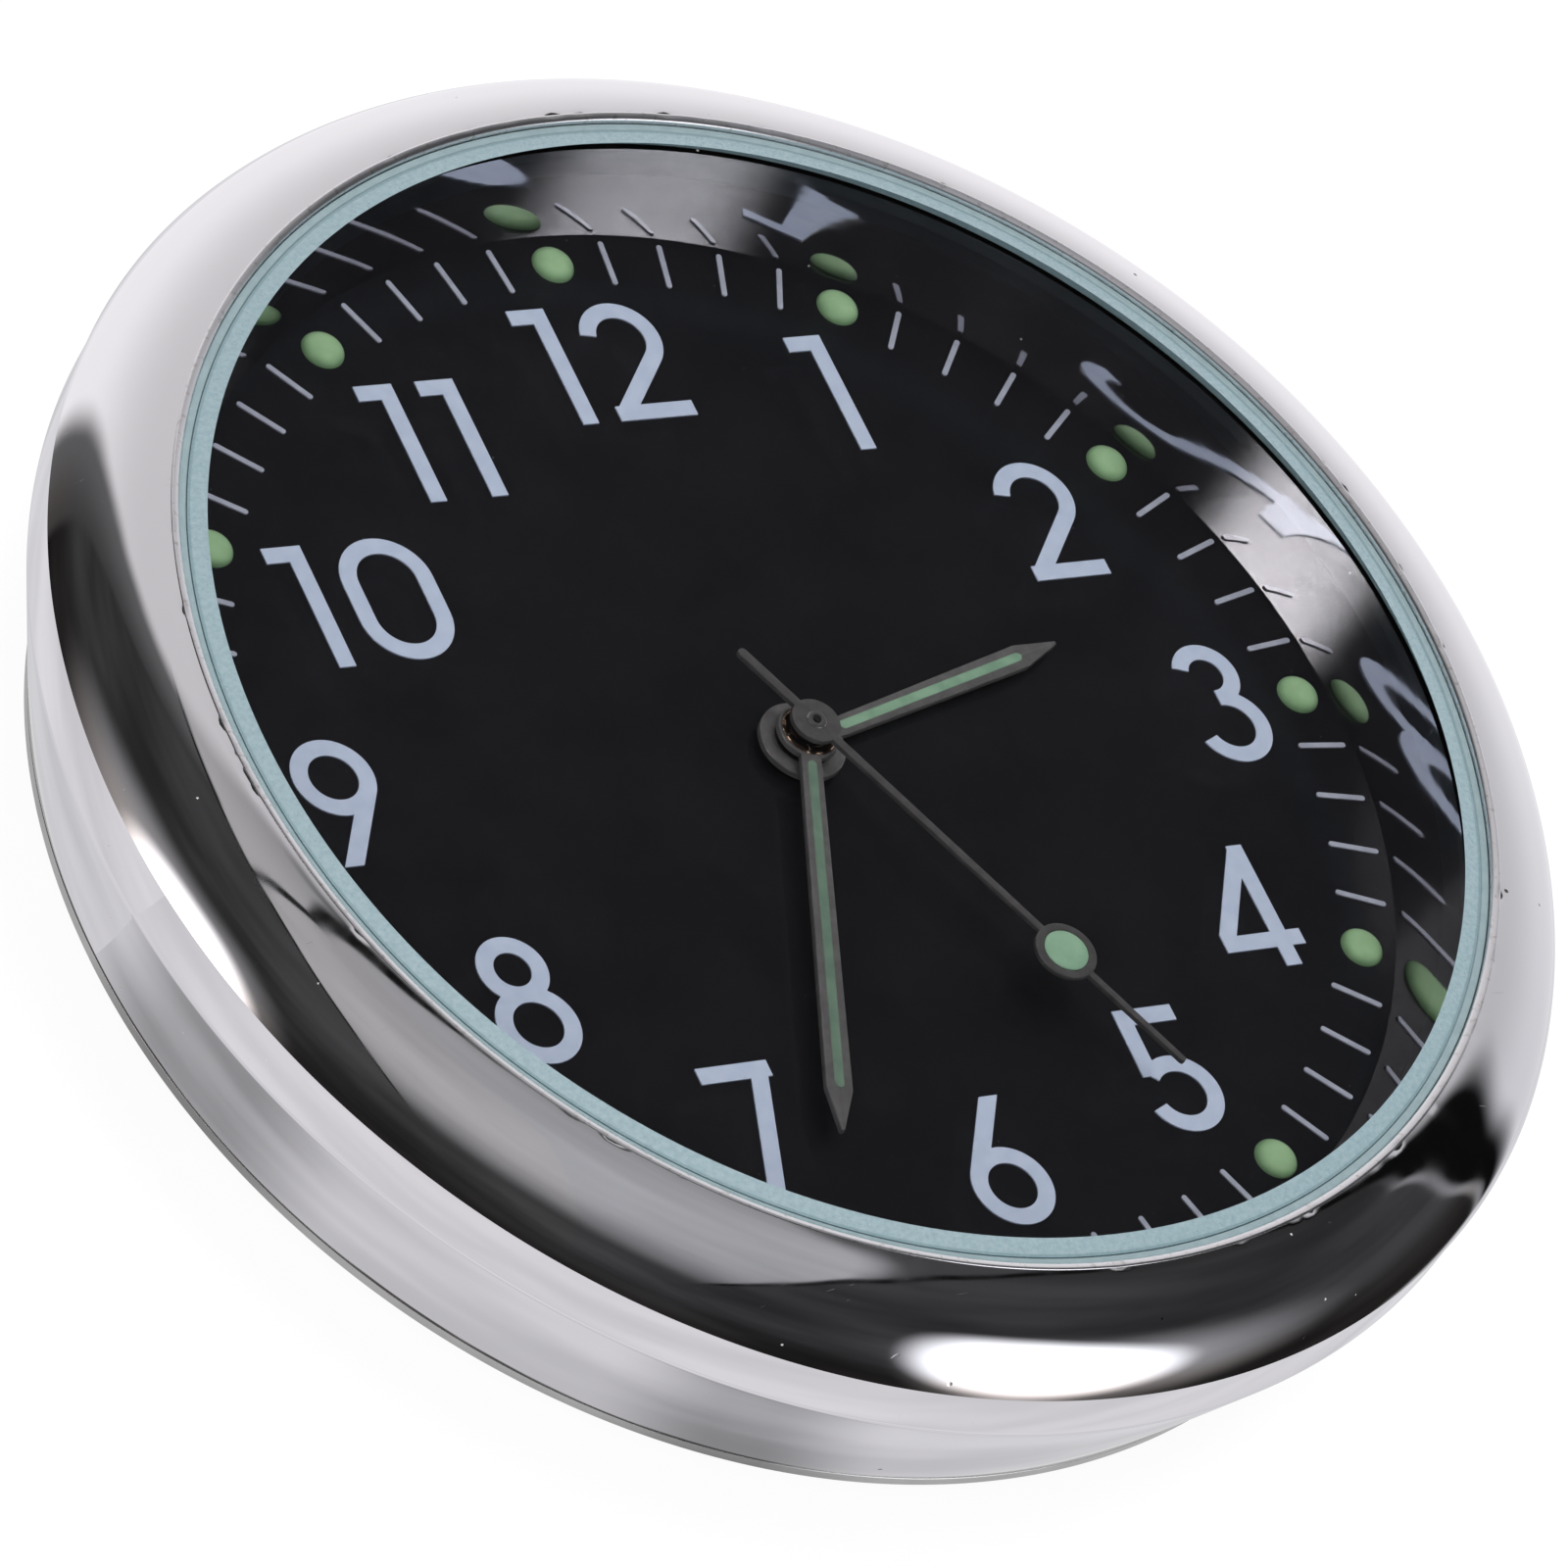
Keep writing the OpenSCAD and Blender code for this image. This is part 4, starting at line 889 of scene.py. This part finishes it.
def minute_collet():
    """Polished collet of the minute hand: a ring with a half-round top, with shallow notches across it
    where a cosine of five times the angle is near its top."""
    corners = [
        (MINUTE_BORE_R, minute_z - HAND_T, 0), (COLLET_R, minute_z - HAND_T, 0),
        (COLLET_R, minute_z + COLLET_H, COLLET_EDGE), (MINUTE_BORE_R, minute_z + COLLET_H, COLLET_EDGE),
    ]
    points, quads, slots = turned(braced(rounded(corners)), 160, slot=1)
    turn = np.arctan2(points[:, 1], points[:, 0])
    notch = (0.5 + 0.5 * np.cos(5 * turn)) ** 12 * (points[:, 2] > minute_z)
    return points - np.stack([0 * turn, 0 * turn, COLLET_NOTCH * notch], -1), quads, slots


minute_plate = plate(hand_outline(MINUTE_L, MINUTE_RIM_R), COLLET_R, minute_z - HAND_T, minute_z, BLADE_EDGE)
piece(
    "minute_baton", [placed(minute_plate, minute_aim), placed(minute_collet(), minute_aim)],
    [hand_grey, hub_bronze], "minute", ["minute_hand"], 30,
)
piece(
    "minute_filling", [placed(strip(MINUTE_L, MINUTE_RIM_R, minute_z), minute_aim)],
    [shaded_minute_paint], "minute", ["minute_lume"], 40,
)


def second_outline():
    """Outline of the second hand: hub, round-ended tail and tapering needle."""
    needle_half, tail_half, tip_half = SECOND_W / 2, SECOND_W * 0.55, SECOND_W * 0.35
    ahead, behind = (math.degrees(math.asin(half / SECOND_HUB_R)) for half in (needle_half, tail_half))
    along = np.linspace(SECOND_HUB_R, SECOND_L - tip_half, 16)
    side = np.stack([along, np.interp(along, [0, SECOND_L], [needle_half, tip_half])], -1)
    return np.concatenate([
        arc((0, 0), SECOND_HUB_R, ahead, 180 - behind, 40),
        arc((tail_half - TAIL_L, 0), tail_half, 90, 270, 10),
        arc((0, 0), SECOND_HUB_R, 180 + behind, 360 - ahead, 40),
        side * (1, -1),
        arc((SECOND_L - tip_half, 0), tip_half, -80, 80, 8),
        side[::-1],
    ])


def second_parts():
    """Second hand: the flat plate, its pipe and eyelet on the axis, and the ring round the drop."""
    low = second_z - SECOND_T
    ring_in = DISC_LUME_R + SET_GAP
    ring = rounded([
        (ring_in, low, RING_FOOT[0]), (DISC_R, low, RING_FOOT[1]),
        (DISC_R, second_z, RING_ROUND[1]), (ring_in, second_z, RING_ROUND[0]),
    ])
    pipe = rounded([
        (SECOND_BORE_R, low - PIPE_H, PIPE_EDGE / 2), (PIPE_R, low - PIPE_H, PIPE_EDGE),
        (PIPE_R, low + PIPE_EDGE, 0), (SECOND_BORE_R, low + PIPE_EDGE, 0),
    ])
    eyelet = rounded([
        (SECOND_BORE_R, second_z - EYELET_SUNK, 0), (EYELET_R, second_z - EYELET_SUNK, 0),
        (EYELET_R, second_z + EYELET_H, EYELET_H), (SECOND_BORE_R, second_z + EYELET_H, EYELET_H),
    ])
    return [
        placed(plate(second_outline(), EYELET_R, low, second_z - NEEDLE_SUNK, NEEDLE_EDGE), second_aim),
        placed(turned(braced(ring), 96, (DISC_AT, 0)), second_aim),
        turned(braced(pipe), 64, slot=1),
        turned(braced(eyelet), 64, slot=1),
    ]


piece(
    "second_needle", second_parts(), [needle_grey, ring_steel], "second", ["second_hand"], 30,
)
drop_at = (DISC_AT * math.cos(second_aim), DISC_AT * math.sin(second_aim))
drop_top = node_box("second_lume")[1][2]
piece(
    "second_drop", [dome(DISC_LUME_R, second_z - DROP_SUNK, drop_top, drop_at)],
    [drop_paint], "second", ["second_lume"], 60,
)


# Motor coil, quartz can and button cell, seen when the case is lifted

COIL_TURNS = 56
COIL_BORE_R = 0.46
CAN_EDGE = 0.25
CAN_COLLAR = 0.06
CAN_COLLAR_L = 0.48
CAN_SOFT = 0.02
CELL_STEP = 0.35
CELL_INSET = 0.5
CELL_EDGE = 0.18
LID_GAP = 0.12
CRIMP_EDGE = 0.05
SLEEVE_RISE = 0.1
SLEEVE_SUNK = 0.05
SLEEVE_EDGE = (0.02, 0.03)
copper_wire = wound_wire()
can_steel = grained_metal("can_steel", rgb(206, 206, 208), 0.22)
cell_steel = grained_metal("cell_steel", rgb(210, 210, 207), 0.24, (3.0, 16.0, 3.0), 0.002)


def along_axis(made, axis, middle):
    """A shell turned about Z laid along another axis, by cycling its coordinates, and moved."""
    points, quads, slots = made
    order = {"x": [2, 0, 1], "y": [1, 2, 0]}[axis]
    return points[:, order] + np.array(middle), quads, slots


def coil_turns():
    """Winding: a row of round turns side by side round a bore, radius = outer radius less the wire's
    half width times (1 - |sin|) along its length."""
    low, high = node_box("coil_winding")
    half = (high - low) / 2
    wire = half[0] / COIL_TURNS
    along = np.linspace(-half[0], half[0], COIL_TURNS * 8 + 1)
    ridge = half[1] - wire * (1 - np.abs(np.sin(math.pi * (along + half[0]) / (2 * wire))))
    outer = np.stack([ridge, along], -1)
    profile = np.concatenate([[(COIL_BORE_R, -half[0])], outer, [(COIL_BORE_R, half[0])]])
    return along_axis(turned(profile, 48), "x", (low + high) / 2)


def can_shell():
    """Quartz can: a drawn cylinder with one rounded end and a thin collar at the other."""
    low, high = node_box("quartz_can")
    half = (high - low) / 2
    r, end = half[0], half[1]
    rows = braced(rounded([
        (0, -end, 0), (r, -end, CAN_SOFT), (r, CAN_COLLAR_L - end, CAN_SOFT),
        (r - CAN_COLLAR, CAN_COLLAR_L - end, CAN_SOFT), (r - CAN_COLLAR, end, CAN_EDGE), (0, end, 0),
    ]), closed=False)
    return along_axis(turned(rows, 64, closed=False), "y", (low + high) / 2)


def cell_shells():
    """Button cell: the lid below with its rounded step, a nylon ring round it, and the crimped can."""
    low, high = node_box("battery")
    middle = (low + high) / 2
    r, top = high[0] - middle[0], high[2]
    step, lid_r = low[2] + CELL_STEP, r - CELL_INSET
    can = rounded([(lid_r, step, CRIMP_EDGE), (r, step, CELL_EDGE), (r, top, CELL_EDGE), (0, top, 0)])
    lid_in = lid_r - LID_GAP
    lid = rounded([(0, low[2], 0), (lid_in, low[2], CELL_EDGE), (lid_in, step + SLEEVE_RISE, 0)])
    sleeve = rounded([
        (lid_in, step - SLEEVE_SUNK, SLEEVE_EDGE[0]), (lid_r, step - SLEEVE_SUNK, SLEEVE_EDGE[1]),
        (lid_r, step + SLEEVE_RISE, 0),
    ])
    rows = np.concatenate([lid, sleeve, can])
    slot = np.repeat([0, 1, 0], [len(lid), len(sleeve), len(can)])[:-1]
    return turned(rows, 160, middle[:2], closed=False, slot=slot)


piece("wire_coil", [coil_turns()], [copper_wire], "clock", ["coil_winding"], 60)
piece("drawn_can", [can_shell()], [can_steel], "clock", ["quartz_can"], 30)
piece("button_cell", [cell_shells()], [cell_steel, black_rubber], "clock", ["battery"], 30)


# Studio

# Direction in which the flat glass mirrors the studio to the camera, in degrees
MIRROR_BEARING = 39.4
MIRROR_HEIGHT = 43.5
# Light that has bounced this often comes from inside the clock
INNER_DEPTH = 3.5
# Height and half height at which light from inside the clock finds the boxes
INNER_RISE = 16.0
INNER_TALL = 18.0
# Bright boxes: bearing, half widths to either side, the same for light from inside the clock and for
# the halo, height, half height, and level for light from inside
BOXES = (
    (171, (17.0, 12.5), (12.5, 14.5), (45.0, 20.0), -22.0, 29.0, 10.0),
    (289, (16.0, 20.0), (16.0, 20.0), (20.0, 46.0), 12.0, 28.0, 5.4),
)
# Left and right side of the ceiling panel, and its end: bearing and distance from overhead
PANEL_SIDES = ((131.6, 0.5), (324.4, 0.37))
PANEL_END = (332, 0.36)
FOLD_AT = 0.33
SEAM_LEVEL = 0.006
BACKDROP_BEARING = 49.5


def heading(degrees):
    """Cosine and sine of an angle in degrees."""
    return math.cos(math.radians(degrees)), math.sin(math.radians(degrees))


def studio_world():
    """Studio by direction: bearing from +X round to +Y and height above the horizon, in degrees, and for
    what is overhead the spot on a ceiling one unit up. An oval pale backdrop stands behind the clock
    with a black rim on its right, a grey panel with dark seams hangs overhead, and two bright oval
    boxes stand in front, which light from inside the clock finds higher up. The patch that the flat
    glass mirrors to the camera is dark. What the camera sees directly is white."""
    world = bpy.data.worlds.new("studio")
    bpy.context.scene.world = world
    f = Finish(world)
    way = f.node("TexCoord", "Generated")
    x, y, z = (f.node("SeparateXYZ", axis, Vector=way) for axis in "XYZ")
    height = f.times(f.math("ARCSINE", z), 180 / math.pi)

    def over(base, share, value):
        """Value laid over base where share is 1."""
        bare = f.times(base, f.minus(1.0, share))
        return f.plus(bare, f.times(share, value))

    def split(value, below, above):
        """Value divided by one size below zero and by another above it."""
        low = f.math("DIVIDE", f.math("MINIMUM", value, 0.0), below)
        return f.plus(low, f.math("DIVIDE", f.math("MAXIMUM", value, 0.0), above))

    def length(a, b):
        return f.math("SQRT", f.plus(f.times(a, a), f.times(b, b)))

    def along(a, b, turn):
        """Length of (a, b) in one direction."""
        c, s = heading(turn)
        return f.plus(f.times(a, c), f.times(b, s))

    def bearing(middle):
        """Angle from a bearing, between -180 and 180."""
        aside = along(x, y, middle + 90)
        return f.times(f.math("ARCTAN2", aside, along(x, y, middle)), 180 / math.pi)

    ceiling_x, ceiling_y = (f.math("DIVIDE", axis, f.math("MAXIMUM", z, 0.02)) for axis in (x, y))
    outside = f.fall(f.node("LightPath", "Ray Depth"), INNER_DEPTH - 0.1, INNER_DEPTH + 0.1)
    smoke = f.noise(1.0, 3.0, where=f.node("Mapping", Vector=way, Scale=(1.3, 1.3, 2.2)))
    light = f.times(f.ramp(height, -12, 15, 0.016, 0.04), f.spread(smoke, 0.55, 1.6))

    sides = [(along(ceiling_x, ceiling_y, turn), at) for turn, at in PANEL_SIDES]
    panel_end = along(ceiling_x, ceiling_y, PANEL_END[0])
    fold = f.minus(ceiling_y, f.times(f.math("MAXIMUM", ceiling_x, 0.0), 0.3))
    from_above = length(ceiling_x, ceiling_y)
    glow = f.times(f.ramp(from_above, 0.3, 1.9, 0.4, 0.05), f.spread(smoke, 0.8, 1.2))
    glow = over(glow, f.ramp(panel_end, PANEL_END[1] - 0.02, PANEL_END[1] + 0.02), 0.06)
    glow = over(glow, f.ramp(fold, FOLD_AT - 0.01, FOLD_AT + 0.01), f.ramp(ceiling_x, -0.3, 0.5, 0.42, 0.3))
    inside = f.times(*(f.fall(edge, at - 0.01, at + 0.01) for edge, at in sides))
    light = over(light, f.times(inside, f.ramp(z, 0.24, 0.68), outside), glow)

    lean = f.times(f.math("POWER", f.math("MAXIMUM", height, 0.0), 2.0), 0.0075)
    aside = f.minus(bearing(BACKDROP_BEARING), lean)
    oval = length(split(aside, 53.7, 55.5), split(f.minus(height, 5.0), 66.0, 56.0))
    on_right = f.fall(aside, -28, -18)
    wing = f.times(f.ramp(aside, -10, 10), f.fall(oval, 1.2, 1.24), f.ramp(sides[0][0], 0.46, 0.5))
    light = over(light, wing, f.ramp(oval, 1.0, 1.24, 0.12, 0.05))
    rim_at = f.plus(f.times(height, 0.0028), f.ramp(height, 38, 50, 1.128, 0.9))
    rim = f.minus(oval, rim_at)
    light = over(light, f.times(on_right, f.fall(rim, -0.02, 0.02)), 0.004)
    piping = f.window(rim, 0.0, 0.025, 0.012)
    light = over(light, f.times(on_right, piping, f.fall(height, 34, 46)), 0.25)

    steep = f.ramp(z, 0.5, 0.6)
    for edge, at in sides:
        light = over(light, f.times(f.window(edge, at - 0.01, at + 0.01, 0.006), steep), SEAM_LEVEL)
    thick = f.ramp(f.math("ABSOLUTE", f.minus(ceiling_x, 0.35)), 0.0, 0.35, 0.03, 0.012)
    off = f.math("DIVIDE", f.math("ABSOLUTE", f.minus(fold, FOLD_AT)), thick)
    light = over(light, f.times(f.fall(off, 0.7, 1.3), inside, steep), SEAM_LEVEL)

    pale = f.times(f.ramp(height, -5, 55, 0.95, 0.62), f.ramp(aside, -52, -8, 0.74, 1.0))
    light = over(light, f.fall(oval, 0.94, 1.04), pale)

    def ellipse(turn, halves, rise, tall):
        """Distance from the middle of an oval patch of the studio, 1 at its edge."""
        return length(split(turn, *halves), f.math("DIVIDE", f.minus(height, rise), tall))

    for middle, halves, inner_halves, halo_halves, rise, tall, level in BOXES:
        turn = bearing(middle)
        box = ellipse(turn, halves, rise, tall)
        inner_box = ellipse(turn, inner_halves, INNER_RISE, INNER_TALL)
        halo = ellipse(turn, halo_halves, 0.6 * rise, 1.3 * tall)
        light = f.plus(light, f.times(f.ramp(halo, 0.3, 0.98, 0.32, 0.0), outside))
        shown = over(f.ramp(inner_box, 0.5, 1.3, level, 0.0), outside, f.ramp(box, 0.55, 1.15, 2.2, 0.0))
        light = f.plus(light, shown)

    rise = math.tan(math.radians(MIRROR_HEIGHT))
    mirrored = Vector((*heading(MIRROR_BEARING), rise)).normalized()
    toward = f.node("VectorMath", "Value", settings={"operation": "DOT_PRODUCT"}, _0=way, _1=tuple(mirrored))

    def within(wide, narrow):
        """1 within a narrow angle of the mirrored direction, 0 outside a wide one, in degrees."""
        return f.ramp(toward, heading(wide)[0], heading(narrow)[0])

    shade = f.times(within(14, 8), f.minus(1.0, outside))
    light = over(light, f.math("MAXIMUM", within(5.2, 4.4), shade), 0.02)

    tint = f.mix(f.ramp(aside, -60, -10), (0.93, 0.95, 1.0, 1.0), (0.985, 0.975, 1.0, 1.0))
    low_down = f.times(f.fall(height, -14, 6), f.ramp(oval, 1.05, 1.15))
    tint = f.mix(low_down, tint, (1.0, 0.93, 0.9, 1.0))
    studio = f.node("Background", Color=tint, Strength=light)
    white = f.node("Background", Color=WHITE, Strength=1.0)
    seen = f.node("LightPath", "Is Camera Ray")
    f.output(f.node("MixShader", _0=seen, _1=studio, _2=white), "OutputWorld")


def pale_floor():
    """White table top. The camera sees white with the clock's soft shadow on it; polished metal sees it
    pale close to the clock, in faint rings, with painted shadow making it darker towards the foot and
    in two patches beside the foot, and the studio further out. It glows under the clock's back and is
    clear from below, so that the back can be looked at."""
    f = material("pale_floor")
    matte = f.node("BsdfDiffuse", Color=(0.9, 0.9, 0.92, 1.0))
    shaded = f.node("BsdfDiffuse", Color=(0.12, 0.12, 0.12, 1.0))
    white = f.node("AddShader", _0=shaded, _1=f.node("Emission", Color=WHITE, Strength=0.92))
    around = f.times(f.math("ARCTAN2", f.axis("Y"), f.axis("X")), 180 / math.pi)
    # Painted shadow: two patches beside the foot where the mirrored floor is darker
    patch = f.plus(f.window(around, -177, -156, 7.0), f.window(around, -121, -106, 6.0))
    near = f.fall(f.radius(), 20.5, 22.5)
    painted_floor_shadow = f.times(patch, near, 0.3)
    ring_spot = f.node("CombineXYZ", X=f.radius(), Y=f.times(around, 0.02))
    rings = f.spread(f.noise(1.0, 3.0, where=ring_spot), 0.86, 1.1)
    # Painted shadow: the mirrored floor is darker close to the foot
    level = f.minus(f.times(f.ramp(f.radius(), 19.0, 24.0, 0.66, 0.76), rings), painted_floor_shadow)
    glow = f.node("Emission", Color=(0.97, 0.965, 1.0, 1.0), Strength=level)
    clear = f.node("BsdfTransparent")
    mirrored = f.node("MixShader", _0=f.ramp(f.radius(), 27.5, 30.5), _1=glow, _2=clear)
    table = f.node("MixShader", _0=f.node("LightPath", "Is Glossy Ray"), _1=matte, _2=mirrored)
    covered = f.fall(f.radius(), foot_r - 0.2, foot_r - 0.1)
    under = f.node("Emission", Color=WHITE, Strength=0.7)
    table = f.node("MixShader", _0=covered, _1=table, _2=under)
    table = f.node("MixShader", _0=f.node("LightPath", "Is Camera Ray"), _1=table, _2=white)
    return f.output(f.node("MixShader", _0=f.node("NewGeometry", "Backfacing"), _1=table, _2=clear))


def aimed(name, data, spot, target, lean=0.0):
    """Lamp or camera at a spot, looking at a target and leaning about its line of sight."""
    made = show(name, data)
    made.location = Vector(spot) * MM
    made.rotation_mode = "QUATERNION"
    look = (Vector(target) - Vector(spot)).to_track_quat("-Z", "Y")
    made.rotation_quaternion = look @ Quaternion((0, 0, 1), lean)
    return made


def lamp(name, spot, size, power):
    """Soft square lamp that lights the clock but is not mirrored in it, nor seen through its glass."""
    data = bpy.data.lights.new(name, "AREA")
    data.size = size * MM
    data.energy = power
    made = aimed(name, data, spot, LAMP_AIM)
    made.visible_camera = False
    made.visible_glossy = False
    made.visible_transmission = False


studio_world()
FLOOR_HALF = 1500.0
FLOOR_DROP = 0.02
line = np.linspace(-FLOOR_HALF, FLOOR_HALF, 13)
floor_y, floor_x = np.meshgrid(line, line, indexing="ij")
floor_points = np.stack([floor_x, floor_y, np.full_like(floor_x, pad_low[2] - FLOOR_DROP)], -1)
floor_mesh = bpy.data.meshes.new("table_top")
corners, quads, _ = shell(floor_points * MM, columns_close=False)
floor_mesh.from_pydata(corners.tolist(), [], quads.tolist())
floor_mesh.materials.append(pale_floor())
floor = show("table_top", floor_mesh)

LAMP_AIM = (0, 0, 5)
lamp("overhead", (60, 40, 420), 320, 1.5)
lamp("fill", (-260, -180, 300), 260, 0.7)


# Camera, at the photograph's viewing angle

EYE = (-132.88, -109.33, 171.25)
AIM = (-0.779, -0.906, 5.615)
LENS = 224.03
LEAN = math.radians(33.768)
camera_data = bpy.data.cameras.new("camera")
camera_data.sensor_width = 36.0
camera_data.lens = LENS
camera_data.clip_start = 0.01
camera_data.clip_end = 10.0
bpy.context.scene.camera = aimed("camera", camera_data, EYE, AIM, LEAN)
bpy.context.scene.view_settings.view_transform = "Standard"
